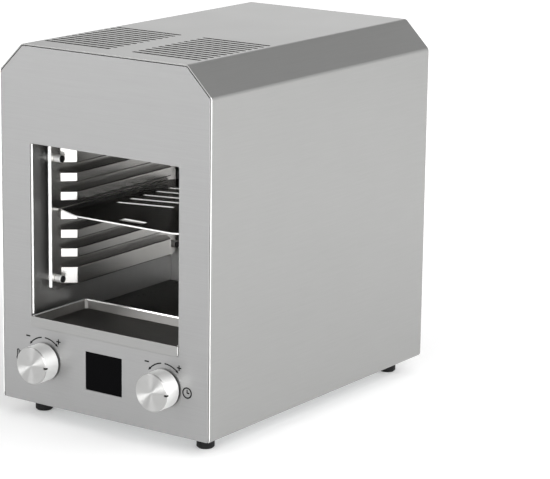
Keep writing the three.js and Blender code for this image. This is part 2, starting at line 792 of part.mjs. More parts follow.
// Ceramic bar across the heater window, grooved on top for the heater's legs
function heaterHolder(place) {
  const bottom = cavityCeiling + linerSheet + fitGap;
  const half = reflectorHalfWidth - holderSideInset;
  const bar = block(
    [-half, half], [place, place + holderWidth], [bottom, bottom + holderHeight],
  );
  const grooves = Array.from({ length: heaterLegCount }, (_, leg) => shifted(
    rod(heaterTubeRadius + fitGap * 2, place - overrun, place + holderWidth + overrun),
    (leg - (heaterLegCount - 1) / 2) * heaterLegPitch, 0, heaterHeight,
  ));
  return cut(bar, ...grooves);
}

// Reflector: a shallow hood over the heater, notched at the back for its ends
function heaterReflector() {
  const bottom = cavityCeiling + linerSheet + fitGap;
  const top = bottom + reflectorHeight;
  const rear = cavityDepth - reflectorRearInset;
  const hood = block([-reflectorHalfWidth, reflectorHalfWidth], [reflectorFront, rear], [bottom, top]);
  const inside = block(
    [-reflectorHalfWidth + linerSheet, reflectorHalfWidth - linerSheet],
    [reflectorFront + linerSheet, rear - linerSheet], [bottom - overrun, top - linerSheet],
  );
  const notch = heaterTubeRadius + fitGap * 2;
  const notches = [-1, 1].map((side) => block(
    [side * heaterEndPlace - notch, side * heaterEndPlace + notch], [rear - overrun, rear + overrun],
    [bottom - overrun, heaterHeight + notch],
  ));
  return cut(hood, inside, ...notches);
}

function addHeater() {
  const element = tube(heaterPath(), heaterTubeRadius, heaterSideCount, heaterStepCount);
  addPiece('heater_element', element, finishes.heatTintedSteel);
  addPiece('heater_holder_front', heaterHolder(holderFrontPlace), finishes.ceramic);
  addPiece('heater_holder_rear', heaterHolder(cavityDepth - holderRearInset), finishes.ceramic);
  addPiece('heater_reflector', heaterReflector(), finishes.polishedSteel);
  const bottom = cavityCeiling + linerSheet + reflectorHeight + fitGap * 2;
  addPiece('ceiling_insulation', block(
    [-reflectorHalfWidth, reflectorHalfWidth], [reflectorFront, cavityDepth - reflectorRearInset],
    [bottom, bottom + ceilingInsulationThickness],
  ), finishes.mineralWool);
}

// The pan's outline at a height, moved in by a distance: the folded corners open towards the rim
function panOutline(height, inset) {
  const share = (height - trayFloor) / trayWallHeight;
  const side = trayHalfWidth - trayDraft * (1 - share) - inset;
  const rear = trayDepth - trayDraft * (1 - share) - inset;
  const corner = trayCorner * share;
  return [
    [-side, -fitGap, height], [side, -fitGap, height], [side, rear - corner, height],
    [side - corner, rear, height], [corner - side, rear, height], [-side, rear - corner, height],
  ];
}

// The solid round a set of points, with nothing hollow
const hull = (points) => solidOf(new ConvexGeometry(points.map((point) => new THREE.Vector3(...point))));

// Drip tray: a shallow pan whose front wall is a lip over the window's lower edge
function dripTray() {
  const lipHalf = windowHalfWidth + lipOverlap;
  const pan = hull([...panOutline(trayFloor, 0), ...panOutline(trayRim, 0)]);
  const inside = hull([
    ...panOutline(trayFloor + traySheet, traySheet), ...panOutline(trayRim + overrun, traySheet),
  ]);
  const lipBottom = windowBottom - lipDrop;
  const lipLine = roundedOutline(
    [[-lipHalf, lipBottom], [lipHalf, lipBottom], [lipHalf, trayRim], [-lipHalf, trayRim]],
    [lipCorner, lipCorner, 0, 0],
  );
  const lip = prism(lipLine, 'y', -lipSheet - fitGap, -fitGap);
  return join(cut(pan, inside), lip);
}

// Grill plate: flat sheet with slanted slots in two mirrored banks and a slot for its handle
function grillPlate() {
  const cutY = plateFront + plateFrontCut;
  const straight = plateHalfWidth - plateFrontTaper;
  const handleFront = plateFront + handleSlotInset;
  const outline = new THREE.Shape([
    [-straight, plateFront], [straight, plateFront], [plateHalfWidth, cutY],
    [plateHalfWidth, plateRear - plateRearCut], [plateHalfWidth - plateRearCut, plateRear],
    [plateRearCut - plateHalfWidth, plateRear], [-plateHalfWidth, plateRear - plateRearCut],
    [-plateHalfWidth, cutY],
  ].map(([x, y]) => new THREE.Vector2(x, y)));
  const plate = prism(outline, 'z', plateBottom, plateBottom + plateSheet);
  const through = (shape) => prism(shape, 'z', plateBottom - overrun, plateBottom + overrun);
  const handleSlot = roundedRectangle(
    [-handleSlotWidth / 2, handleSlotWidth / 2],
    [handleFront, handleFront + handleSlotLength], handleSlotCorner,
  );
  const firstSlot = THREE.MathUtils.lerp(plateFront, plateRear, grateFrontShare);
  const slotPitch = (plateRear - grateRearMargin - grateSlotRise - firstSlot) / (grateSlotCount - 1);
  const slots = Array.from({ length: grateSlotCount }, (_, row) => firstSlot + row * slotPitch)
    .flatMap((y) => [-1, 1].map((side) => slotOutline(
      [side * (plateHalfWidth - grateSideMargin), y], [side * grateMiddleMargin, y + grateSlotRise],
      grateSlotWidth,
    )));
  return cut(plate, through(handleSlot), ...slots.map(through));
}

// Knob: a turned cup with a socket for the shaft and a notch in its rim that marks where it points
function knob() {
  const face = -knobProjection;
  const base = -knobGap;
  const recess = base - knobRecessDepth;
  const socketEnd = recess + knobSocketLength;
  const bore = shaftRadius + fitGap;
  const body = turned([
    [0, face], [knobRadius - knobEdge, face], [knobRadius, face + knobEdge], [knobRadius, base],
    [knobRecessRadius, base], [knobRecessRadius, recess], [knobSocketRadius, recess],
    [knobSocketRadius, socketEnd], [bore, socketEnd], [bore, socketEnd - knobBoreDepth],
    [0, socketEnd - knobBoreDepth],
  ], roundSideCount);
  const notch = block(
    [knobRadius - notchLength, knobRadius + overrun], [face - overrun, face + notchDepth],
    [-notchWidth / 2, notchWidth / 2],
  );
  return cut(body, notch);
}

function knobShaft() {
  const socketEnd = -knobGap - knobRecessDepth + knobSocketLength;
  return rod(shaftRadius, socketEnd - knobBoreDepth + fitGap, shaftInside);
}

const rotorStart = () => outerSheet + fitGap * 2 + (encoderDepth - rotorThickness) / 2;

// Detent disc inside the encoder, turned by the shaft that slides through it
function encoderRotor() {
  const bore = shaftRadius + shaftClearance;
  const [from, to] = [rotorStart(), rotorStart() + rotorThickness];
  return turned([[bore, from], [rotorRadius, from], [rotorRadius, to], [bore, to], [bore, from]]);
}

// Encoder: a box behind the panel, with a threaded bush through it, open along its bore
function encoderBody() {
  const back = outerSheet + fitGap;
  const half = encoderWidth / 2;
  const box = block([-half, half], [back, back + encoderDepth], [-half, half]);
  const bush = rod(bushRadius, -bushTip, back + encoderDepth / 2);
  const bore = rod(shaftRadius + shaftClearance, -bushTip - overrun, back + encoderDepth + overrun);
  const chamber = rod(rotorRadius + fitGap, rotorStart() - fitGap, rotorStart() + rotorThickness + fitGap);
  return cut(join(box, bush), bore, chamber);
}

function encoderNut() {
  const reach = nutAcross / 2 / Math.cos(Math.PI / nutSideCount);
  const hexagon = new THREE.Shape(Array.from({ length: nutSideCount }, (_, corner) => {
    const angle = Math.PI * 2 * corner / nutSideCount;
    return new THREE.Vector2(reach * Math.cos(angle), reach * Math.sin(angle));
  }));
  const whole = prism(hexagon, 'y', -nutThickness - fitGap, -fitGap);
  return cut(whole, rod(bushRadius + fitGap, -overrun, overrun));
}

function addControls() {
  for (const [name, side] of [['left', -1], ['right', 1]]) {
    const place = { x: side * knobPlace, z: controlHeight };
    addPiece(`${name}_knob`, knob(), finishes.turnedAluminium, place);
    addPiece(`${name}_shaft`, knobShaft(), finishes.zincPlated, place);
    addPiece(`${name}_rotor`, encoderRotor(), finishes.blackPlastic, place);
    addPiece(`${name}_encoder`, encoderBody(), finishes.zincPlated, place);
    addPiece(`${name}_encoder_nut`, encoderNut(), finishes.zincPlated, place);
  }
  addDisplay();
}

// A block centred on the display's place
function displayBlock(width, height, from, to) {
  const z = [controlHeight - height / 2, controlHeight + height / 2];
  return block([-width / 2, width / 2], [from, to], z);
}

function addDisplay() {
  const back = outerSheet + fitGap;
  const [width, height] = [displayWidth - fitGap * 2, displayHeight - fitGap * 2];
  const flange = displayBlock(
    displayWidth + glassFlange * 2, displayHeight + glassFlange * 2, back, back + glassBack,
  );
  const pane = displayBlock(width, height, glassRecess, back + glassBack / 2);
  addPiece('display_window', join(flange, pane), finishes.blackGlass);
  const boardFront = back + encoderDepth + fitGap;
  addPiece('display_module', displayBlock(
    width - moduleMargin, height - moduleMargin, back + glassBack + fitGap, boardFront - fitGap,
  ), finishes.blackPlastic);
  const boardTop = controlHeight + displayHeight / 2 + glassFlange;
  addPiece('control_board', block(
    [controlBoardSideInset - halfWidth, halfWidth - controlBoardSideInset],
    [boardFront, boardFront + boardThickness],
    [boardTop - controlBoardHeight, boardTop],
  ), finishes.circuitBoard);
}

// Power board with its relays, transformer and capacitor, on the base plate's standoffs
function powerBoard() {
  const bottom = basePlateTop + standoffHeight + fitGap;
  const top = bottom + boardThickness;
  const [x0, x1] = [powerBoardLeft, powerBoardRight];
  const [y0, y1] = [powerBoardFront, powerBoardFront + powerBoardDepth];
  const seat = top - boardThickness / 2;
  const inset = standoffInset * 2;
  const relays = Array.from({ length: relayCount }, (_, relay) => {
    const x = x0 + inset + relay * (relaySize + standoffInset);
    const y = y0 + standoffInset;
    return block([x, x + relaySize], [y, y + relaySize], [seat, top + relayHeight]);
  });
  const transformer = block(
    [x1 - standoffInset - transformerSize, x1 - standoffInset],
    [y1 - standoffInset - transformerSize, y1 - standoffInset], [seat, top + transformerHeight],
  );
  const capacitor = post(capacitorRadius, seat, top + capacitorHeight, [x0 + inset, y1 - inset]);
  return join(block([x0, x1], [y0, y1], [bottom, top]), ...relays, transformer, capacitor);
}

// Terminal block: a stepped bar on the base plate
function terminalBlock() {
  const [bottom, y] = [basePlateTop + fitGap, terminalFront];
  const x = [terminalPlace - terminalWidth / 2, terminalPlace + terminalWidth / 2];
  const step = bottom + terminalHeight * terminalStepShare;
  const low = block(x, [y, y + terminalDepth], [bottom, step]);
  const quarter = terminalDepth / 4;
  const top = bottom + terminalHeight;
  const high = block(x, [y + quarter, y + terminalDepth - quarter], [step - overrun, top]);
  return join(low, high);
}

// Disc thermostat with two fixing ears, flat against the cavity's back
function thermalCutout() {
  const back = cavityDepth + linerSheet + fitGap * 2;
  const ears = block(
    [-cutoutEarLength / 2, cutoutEarLength / 2], [back, back + cutoutEarThickness],
    [-cutoutRadius / 2, cutoutRadius / 2],
  );
  return join(ears, rod(cutoutRadius, back, back + cutoutHeight, roundSideCount));
}

// Heater leads: from the heater's end down the rear compartment to the terminal block
function heaterLead(side) {
  const endX = side * heaterEndPlace;
  const landing = terminalPlace + side * terminalWidth / 4;
  const down = basePlateTop + terminalHeight + fitGap * 2;
  const behind = terminalFront + terminalDepth / 2;
  const clear = heaterTerminal + fitGap;
  const along = (share) => THREE.MathUtils.lerp(heaterHeight, down, share);
  const across = (share) => THREE.MathUtils.lerp(endX, landing, share);
  const bow = behind + leadBow;
  return [
    [endX, clear, heaterHeight], [endX, clear + overrun, heaterHeight],
    [endX, (clear + behind) / 2, along(0.03)], [across(0.05), behind, along(0.14)],
    [across(0.25), bow, along(0.4)], [across(0.7), bow, along(0.7)],
    [landing, behind, along(0.9)], [landing, behind, along(0.96)], [landing, behind, down],
  ].map((point) => new THREE.Vector3(...point));
}

// Cable inlet: a bushing clipped in the rear panel, open right through
function cableInlet() {
  const outside = rearPanelFace + fitGap;
  const inside = rearPanelFace - outerSheet - fitGap;
  const start = inside - inletInside;
  const lip = inletBodyRadius + fitGap * 3;
  return turned([
    [inletBoreRadius, start], [inletBodyRadius, start],
    [inletBodyRadius, inside - inletFlangeThickness / 2], [lip, inside - inletFlangeThickness / 2],
    [lip, inside], [inletBodyRadius, inside],
    [inletBodyRadius, outside], [inletFlangeRadius, outside],
    [inletFlangeRadius, outside + inletFlangeThickness / 2],
    [inletFlangeRadius - inletFlangeThickness / 2, outside + inletFlangeThickness],
    [inletBoreRadius, outside + inletFlangeThickness], [inletBoreRadius, start],
  ], roundSideCount);
}

function addElectrics() {
  addPiece('power_board', powerBoard(), finishes.circuitBoard);
  addPiece('terminal_block', terminalBlock(), finishes.ceramic);
  addPiece('thermal_cutout', thermalCutout(), finishes.zincPlated, { z: cutoutPlace });
  for (const [name, side] of [['left', -1], ['right', 1]]) {
    const lead = tube(heaterLead(side), leadRadius, leadSideCount, leadStepCount);
    addPiece(`heater_lead_${name}`, lead, finishes.leadSleeve);
  }
  addPiece('cable_inlet', cableInlet(), finishes.blackPlastic, {
    x: halfWidth - inletSideInset, z: undersideHeight + inletRise,
  });
}

addHousing();
addLiner();
addRacks();
addHeater();
addPiece('drip_tray', dripTray(), finishes.brushedSteel);
addPiece('grill_plate', grillPlate(), finishes.heatTintedSteel);
addControls();
addElectrics();

export default grill;
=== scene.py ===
import math

import bmesh
import bpy
from mathutils import Matrix, Vector


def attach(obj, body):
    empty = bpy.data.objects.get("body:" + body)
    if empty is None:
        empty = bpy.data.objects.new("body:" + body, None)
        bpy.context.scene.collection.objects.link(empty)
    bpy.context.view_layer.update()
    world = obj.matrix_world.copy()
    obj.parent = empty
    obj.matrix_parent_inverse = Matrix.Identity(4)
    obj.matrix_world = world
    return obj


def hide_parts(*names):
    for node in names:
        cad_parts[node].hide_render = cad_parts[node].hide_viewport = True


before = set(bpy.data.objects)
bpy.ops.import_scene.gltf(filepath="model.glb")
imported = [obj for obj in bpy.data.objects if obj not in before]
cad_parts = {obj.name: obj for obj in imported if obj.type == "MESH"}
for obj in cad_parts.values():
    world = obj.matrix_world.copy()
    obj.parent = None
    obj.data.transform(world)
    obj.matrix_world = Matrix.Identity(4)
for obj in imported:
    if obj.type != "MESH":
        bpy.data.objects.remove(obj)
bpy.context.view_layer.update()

# Pieces are drawn in millimetres with the front panel's face at y = 0, then brought to the frame
MM = 0.001
FRONT_FACE = -188.0
SIDES = {"left": -1, "right": 1}

# Housing
HALF_WIDTH = 135.0
HOUSING_TOP = 395.0
HOUSING_DEPTH = 398.0
UNDERSIDE = 16.5
CHAMFER = 30.0
SHEET = 1.2
GAP = 0.3
PANEL_GAP = 0.8
PANEL_PLAY = 0.3
FOLD_RADIUS = 5.0
PANEL_FLANGE = 10.0
PANEL_EDGE = 0.6
WRAP_FLANGE = 14.0
REAR_FACE = 391.0
REAR_FOOT = 19.7
VENT_WIDTH = 4.4
TOP_VENT_ROWS = 12
TOP_VENT_PITCH = 10.65
TOP_VENT_START = 30.0
TOP_VENT_ENDS = (14.0, 99.0)
REAR_VENT_ROWS = 9
REAR_VENT_PITCH = 12.0
REAR_VENT_START = 180.0
REAR_VENT_ENDS = (18.0, 78.0)
SCREW_SIDE = 126.4
SCREW_HEIGHTS = {"lower": 44.5, "upper": 337.0}
FOOT_SIDE = 106.3
FOOT_DEPTHS = {"front": 31.9, "rear": 374.6}
INLET_PLACE = (96.0, 48.0)

# Openings in the front
WINDOW = ((-95.5, 95.5), (100.5, 293.2))
WINDOW_CORNER = 2.0
DISPLAY = ((-23.6, 23.6), (44.4, 85.2))
DISPLAY_CORNER = 0.6
CONTROL_HEIGHT = 64.8
KNOB_PLACES = {"left": -78.0, "right": 78.0}
# The pale folds behind the window's edge, painted highlights, are slanted by this angle
LEAD_ANGLE = math.radians(40)

# Cavity: a wide rib below, five level ribs and a wide rib above
LEVELS = 5
LEVEL_PITCH = 20.25
LEVEL_RIB = (163.05, 173.85)
RIB_RANGES = [
    (134.6, 153.6),
    *[(LEVEL_RIB[0] + LEVEL_PITCH * k, LEVEL_RIB[1] + LEVEL_PITCH * k) for k in range(LEVELS)],
    (264.3, 283.3),
]
STUD_PLACES = {
    "front_low": (41.8, 142.7), "front_high": (41.8, 271.0),
    "rear_low": (239.0, 142.7), "rear_high": (239.0, 271.0),
}

# Floor: how far the paper is lifted to white, and between which distances from a point, in metres;
# the smaller lift near the point is painted shade
FLOOR_LIFT = (0.17, 0.6)
FLOOR_LIFT_REACH = (0.3, 1.8)
FLOOR_PAINTED_SHADE_CENTRE = (0.15, -0.2, 0)

# Smoothness
FOLD_SEGMENTS = 6
ROUND_SEGMENTS = 8
TURN_STEPS = 96
SMALL_TURN_STEPS = 40
SMOOTH_ANGLE = math.radians(32)
MERGE_DISTANCE = 1e-4

# Cutters reach this far past what they cut
CUT_PAST = 5.0


# ---- Shapes


def turn_into_piece(shape, name, material, edge=None, segments=2):
    """Brings a shape from millimetres to the frame and makes it an object with softened edges."""
    bmesh.ops.scale(shape, vec=(MM, MM, MM), verts=shape.verts)
    move_by(shape, (0, FRONT_FACE * MM, 0))
    mesh = bpy.data.meshes.new(name)
    shape.to_mesh(mesh)
    shape.free()
    piece = bpy.data.objects.new(name, mesh)
    bpy.context.scene.collection.objects.link(piece)
    if material is not None:
        mesh.materials.append(material)
    if edge is not None:
        soften(piece, edge, segments)
    return piece


def soften(piece, edge, segments=2):
    """Rounds every crisp edge a little, as deburring does, and keeps the flats flat."""
    bevel = piece.modifiers.new("rounded edges", "BEVEL")
    bevel.width = edge * MM
    bevel.segments = segments
    bevel.limit_method = "ANGLE"
    bevel.angle_limit = SMOOTH_ANGLE
    bevel.use_clamp_overlap = True
    flats = piece.modifiers.new("flat faces", "WEIGHTED_NORMAL")
    flats.keep_sharp = True
    piece.data.polygons.foreach_set("use_smooth", [True] * len(piece.data.polygons))
    piece.data.update()


def cut_away(piece, *cutters):
    """Cuts closed shapes, drawn in millimetres, out of a piece."""
    tools = [turn_into_piece(cutter, "cutter", None) for cutter in cutters]
    for tool in tools:
        step = piece.modifiers.new("cut", "BOOLEAN")
        step.operation = "DIFFERENCE"
        step.solver = "EXACT"
        step.object = tool
    graph = bpy.context.evaluated_depsgraph_get()
    cut_mesh = bpy.data.meshes.new_from_object(piece.evaluated_get(graph))
    old_mesh = piece.data
    materials = list(old_mesh.materials)
    piece.modifiers.clear()
    piece.data = cut_mesh
    cut_mesh.materials.clear()
    for material in materials:
        cut_mesh.materials.append(material)
    bpy.data.meshes.remove(old_mesh)
    for tool in tools:
        bpy.data.objects.remove(tool)


def joined(*shapes):
    """One shape that holds several closed ones."""
    whole = bmesh.new()
    for shape in shapes:
        part = bpy.data.meshes.new("part")
        shape.to_mesh(part)
        shape.free()
        whole.from_mesh(part)
        bpy.data.meshes.remove(part)
    return whole


def move_by(shape, way):
    """Moves a whole shape."""
    bmesh.ops.translate(shape, vec=way, verts=shape.verts)


def swing(shape, angle, axis):
    """Turns a whole shape round an axis through the origin."""
    turn = Matrix.Rotation(angle, 3, axis)
    bmesh.ops.rotate(shape, cent=(0, 0, 0), matrix=turn, verts=shape.verts)


def verts_in(made):
    """The corners among what an operator made."""
    return [item for item in made if isinstance(item, bmesh.types.BMVert)]


def draw_out(shape, edges, way):
    """Draws edges out into walls, and returns the walls' far corners."""
    far = verts_in(bmesh.ops.extrude_edge_only(shape, edges=edges)["geom"])
    bmesh.ops.translate(shape, vec=way, verts=far)
    return far


def round_over(shape, items, offset, segments=FOLD_SEGMENTS, affect="EDGES", clamp=False):
    """Rounds edges or corners of a shape; one segment makes a chamfer."""
    bmesh.ops.bevel(
        shape, geom=items, offset=offset, offset_type="OFFSET", affect=affect,
        segments=segments, profile=0.5, material=-1, clamp_overlap=clamp,
    )


def thicken(surface, thickness):
    """Gives a surface a sheet's thickness."""
    bmesh.ops.solidify(surface, geom=surface.faces, thickness=thickness)
    bmesh.ops.recalc_face_normals(surface, faces=surface.faces)


def bar(x, y, z, along=None, radius=0.0):
    """A block between three ranges, with the edges that run along one axis rounded."""
    shape = bmesh.new()
    bmesh.ops.create_cube(shape, size=1)
    size = [high - low for low, high in (x, y, z)]
    middle = [(high + low) / 2 for low, high in (x, y, z)]
    bmesh.ops.scale(shape, vec=size, verts=shape.verts)
    move_by(shape, middle)
    if along is not None:
        axis = "xyz".index(along)
        edges = [
            e for e in shape.edges
            if abs((e.verts[0].co - e.verts[1].co)[axis]) > size[axis] / 2
        ]
        round_over(shape, edges, radius, ROUND_SEGMENTS)
        bmesh.ops.remove_doubles(shape, verts=shape.verts, dist=MERGE_DISTANCE)
        bmesh.ops.dissolve_degenerate(shape, dist=MERGE_DISTANCE, edges=shape.edges)
    return shape


def slot_bar(x, middle, depth, width=VENT_WIDTH, along="z"):
    """A closed cutter for a slot with round ends that runs along x."""
    across = (middle - width / 2, middle + width / 2)
    y, z = (across, depth) if along == "z" else (depth, across)
    # A hair less than half the width keeps the two rounds of an end apart
    return bar(x, y, z, along, width / 2 - 0.001)


def outline_face(points, radii):
    """A flat face with rounded corners in the x z plane."""
    shape = bmesh.new()
    corners = [shape.verts.new((x, 0, z)) for x, z in points]
    shape.faces.new(corners)
    for corner, radius in zip(corners, radii):
        if radius == 0:
            continue
        ways = [(edge.other_vert(corner).co - corner.co).normalized() for edge in corner.link_edges]
        turn = math.pi - ways[0].angle(ways[1])
        round_over(shape, [corner], radius * math.tan(turn / 2), affect="VERTICES")
    return shape


def pushed(shape, distance, axis="y"):
    """Pushes a flat face along an axis into a closed plate."""
    made = bmesh.ops.extrude_face_region(shape, geom=shape.faces[:])
    way = Vector([distance if a == axis else 0 for a in "xyz"])
    bmesh.ops.translate(shape, vec=way, verts=verts_in(made["geom"]))
    bmesh.ops.recalc_face_normals(shape, faces=shape.faces)
    return shape


def round_post(radius, low, high, place, axis="y"):
    """A closed round bar along an axis; place gives the other two coordinates."""
    profile = [(0, low), (radius, low), (radius, high), (0, high)]
    return turned(profile, place, axis, SMALL_TURN_STEPS)


def turned(profile, place, axis="y", steps=TURN_STEPS):
    """Turns a line of radius and height pairs round an axis, as on a lathe."""
    shape = bmesh.new()
    points = [shape.verts.new((radius, height, 0)) for radius, height in profile]
    edges = [shape.edges.new(pair) for pair in zip(points, points[1:])]
    bmesh.ops.spin(
        shape, geom=points + edges, cent=(0, 0, 0), axis=(0, 1, 0),
        angle=math.tau, steps=steps, use_merge=True,
    )
    bmesh.ops.remove_doubles(shape, verts=shape.verts, dist=MERGE_DISTANCE)
    bmesh.ops.dissolve_degenerate(shape, dist=MERGE_DISTANCE / 10, edges=shape.edges)
    first, second = place
    if axis == "x":
        swing(shape, -math.pi / 2, "Z")
        move_by(shape, (0, first, second))
    elif axis == "y":
        move_by(shape, (first, 0, second))
    else:
        swing(shape, math.pi / 2, "X")
        move_by(shape, (first, second, 0))
    bmesh.ops.recalc_face_normals(shape, faces=shape.faces)
    return shape


def mirrored(shape, side):
    """A shape drawn for the left, turned over where it is for the right."""
    if side > 0:
        bmesh.ops.scale(shape, vec=(-1, 1, 1), verts=shape.verts)
        bmesh.ops.reverse_faces(shape, faces=shape.faces)
    return shape


def housing_line(inset):
    """The housing's sides, chamfers and top, moved in by a distance."""
    shift = inset * math.tan(math.pi / 8)
    side, top = HALF_WIDTH - inset, HOUSING_TOP - inset
    shoulder, brow = HOUSING_TOP - CHAMFER - shift, HALF_WIDTH - CHAMFER - shift
    return [(-side, shoulder), (-brow, top), (brow, top), (side, shoulder)]


def give(piece, body, slot, *nodes):
    """Says what a piece moves with and stands for, and hides the parts it stands for; its slot is
    not used.
    """
    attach(piece, body)
    if nodes:
        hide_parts(*nodes)


# ---- Finishes


def hex_colour(code):
    """An sRGB hex value as a linear colour."""
    parts = [int(code[i:i + 2], 16) / 255 for i in (1, 3, 5)]
    linear = [v / 12.92 if v <= 0.04045 else ((v + 0.055) / 1.055) ** 2.4 for v in parts]
    return (*linear, 1.0)


def add(tree, kind, inputs=None, **settings):
    """Adds a node with its settings, its values and its links."""
    node = tree.nodes.new(kind)
    for key, value in settings.items():
        setattr(node, key, value)
    for socket, value in (inputs or {}).items():
        if isinstance(value, bpy.types.NodeSocket):
            tree.links.new(value, node.inputs[socket])
        else:
            node.inputs[socket].default_value = value
    return node


def begin(name):
    """An empty node material and its tree."""
    material = bpy.data.materials.new(name)
    material.use_nodes = True
    material.node_tree.nodes.clear()
    return material, material.node_tree


def brushed_steel(name, along, tone="#adadac", darker="#a1a1a0", roughness=(0.36, 0.46)):
    """Stainless steel 304 with a belt-brushed finish: fine parallel scratches that stretch every
    reflection across them and break it into faint streaks."""
    material, tree = begin(name)
    place = add(tree, "ShaderNodeTexCoord").outputs["Object"]
    # Scratches are some 0.05 mm wide and 20 to 60 mm long; they are drawn wider, so that they show
    scratch_width, scratch_length = 0.7, 55.0
    scale = [1 / ((scratch_length if axis == along else scratch_width) * MM) for axis in "xyz"]
    stretched = add(tree, "ShaderNodeMapping", {"Vector": place, "Scale": scale}).outputs["Vector"]
    scratches = add(tree, "ShaderNodeTexNoise", {
        "Vector": stretched, "Scale": 1.0, "Detail": 4.0, "Roughness": 0.65}).outputs["Fac"]
    # Handling and the belt's wear change the gloss in patches some 70 mm wide
    cloud = add(tree, "ShaderNodeTexNoise", {
        "Vector": place, "Scale": 1 / (70 * MM), "Detail": 2.0}).outputs["Fac"]
    mixed = add(tree, "ShaderNodeMath", {0: scratches, 1: cloud}, operation="MULTIPLY")
    colour = add(tree, "ShaderNodeMix", {
        0: scratches, 6: hex_colour(darker), 7: hex_colour(tone)}, data_type="RGBA")
    rough = add(tree, "ShaderNodeMapRange", {
        "Value": mixed.outputs[0], "To Min": roughness[0], "To Max": roughness[1]})
    bump = add(tree, "ShaderNodeBump", {
        "Strength": 0.35, "Distance": 0.012 * MM, "Height": scratches})
    axis = add(tree, "ShaderNodeCombineXYZ", {along.upper(): 1.0}).outputs[0]
    normal = add(tree, "ShaderNodeNewGeometry").outputs["Normal"]
    stretch = add(tree, "ShaderNodeVectorMath", {0: normal, 1: axis}, operation="CROSS_PRODUCT")
    steel = add(tree, "ShaderNodeBsdfPrincipled", {
        "Base Color": colour.outputs[2], "Metallic": 1.0, "Roughness": rough.outputs["Result"],
        "Anisotropic": 0.55, "Tangent": stretch.outputs[0], "Normal": bump.outputs[0]})
    add(tree, "ShaderNodeOutputMaterial", {"Surface": steel.outputs[0]})
    return material


def polished_steel(name, tone="#dededd", darker="#d2d2d1", roughness=(0.4, 0.5), edge="#ffffff"):
    """Bright annealed stainless sheet: soft reflections under a thin film of smoke, with a slight
    waviness from rolling."""
    material, tree = begin(name)
    place = add(tree, "ShaderNodeTexCoord").outputs["Object"]
    # Rolling leaves waves some 45 mm long, and smoke settles in patches some 12 mm wide
    waves = add(tree, "ShaderNodeTexNoise", {
        "Vector": place, "Scale": 1 / (45 * MM), "Detail": 1.0}).outputs["Fac"]
    film = add(tree, "ShaderNodeTexNoise", {
        "Vector": place, "Scale": 1 / (12 * MM), "Detail": 5.0, "Roughness": 0.6}).outputs["Fac"]
    colour = add(tree, "ShaderNodeMix", {
        0: film, 6: hex_colour(darker), 7: hex_colour(tone)}, data_type="RGBA")
    rough = add(tree, "ShaderNodeMapRange", {
        "Value": film, "To Min": roughness[0], "To Max": roughness[1]})
    bump = add(tree, "ShaderNodeBump", {"Strength": 0.25, "Distance": 0.25 * MM, "Height": waves})
    steel = add(tree, "ShaderNodeBsdfPrincipled", {
        "Base Color": colour.outputs[2], "Metallic": 1.0, "Specular Tint": hex_colour(edge),
        "Roughness": rough.outputs["Result"], "Normal": bump.outputs[0]})
    add(tree, "ShaderNodeOutputMaterial", {"Surface": steel.outputs[0]})
    return material


def heated_steel(name, tone="#efeeec", darker="#e6e4e0", roughness=(0.2, 0.3), edge="#ffffff"):
    """Stainless sheet that has been hot: a thin straw-brown oxide in clouds, satin in its gloss."""
    material, tree = begin(name)
    place = add(tree, "ShaderNodeTexCoord").outputs["Object"]
    # Oxide forms clouds some 30 mm wide; the sheet's grain is finer than is drawn, so that it shows
    oxide = add(tree, "ShaderNodeTexNoise", {
        "Vector": place, "Scale": 1 / (30 * MM), "Detail": 3.0, "Roughness": 0.55}).outputs["Fac"]
    grain = add(tree, "ShaderNodeTexNoise", {
        "Vector": place, "Scale": 1 / (0.9 * MM), "Detail": 2.0}).outputs["Fac"]
    colour = add(tree, "ShaderNodeMix", {
        0: oxide, 6: hex_colour(darker), 7: hex_colour(tone)}, data_type="RGBA")
    rough = add(tree, "ShaderNodeMapRange", {
        "Value": grain, "To Min": roughness[0], "To Max": roughness[1]})
    bump = add(tree, "ShaderNodeBump", {"Strength": 0.2, "Distance": 0.01 * MM, "Height": grain})
    steel = add(tree, "ShaderNodeBsdfPrincipled", {
        "Base Color": colour.outputs[2], "Metallic": 1.0, "Specular Tint": hex_colour(edge),
        "Roughness": rough.outputs["Result"], "Normal": bump.outputs[0]})
    add(tree, "ShaderNodeOutputMaterial", {"Surface": steel.outputs[0]})
    return material


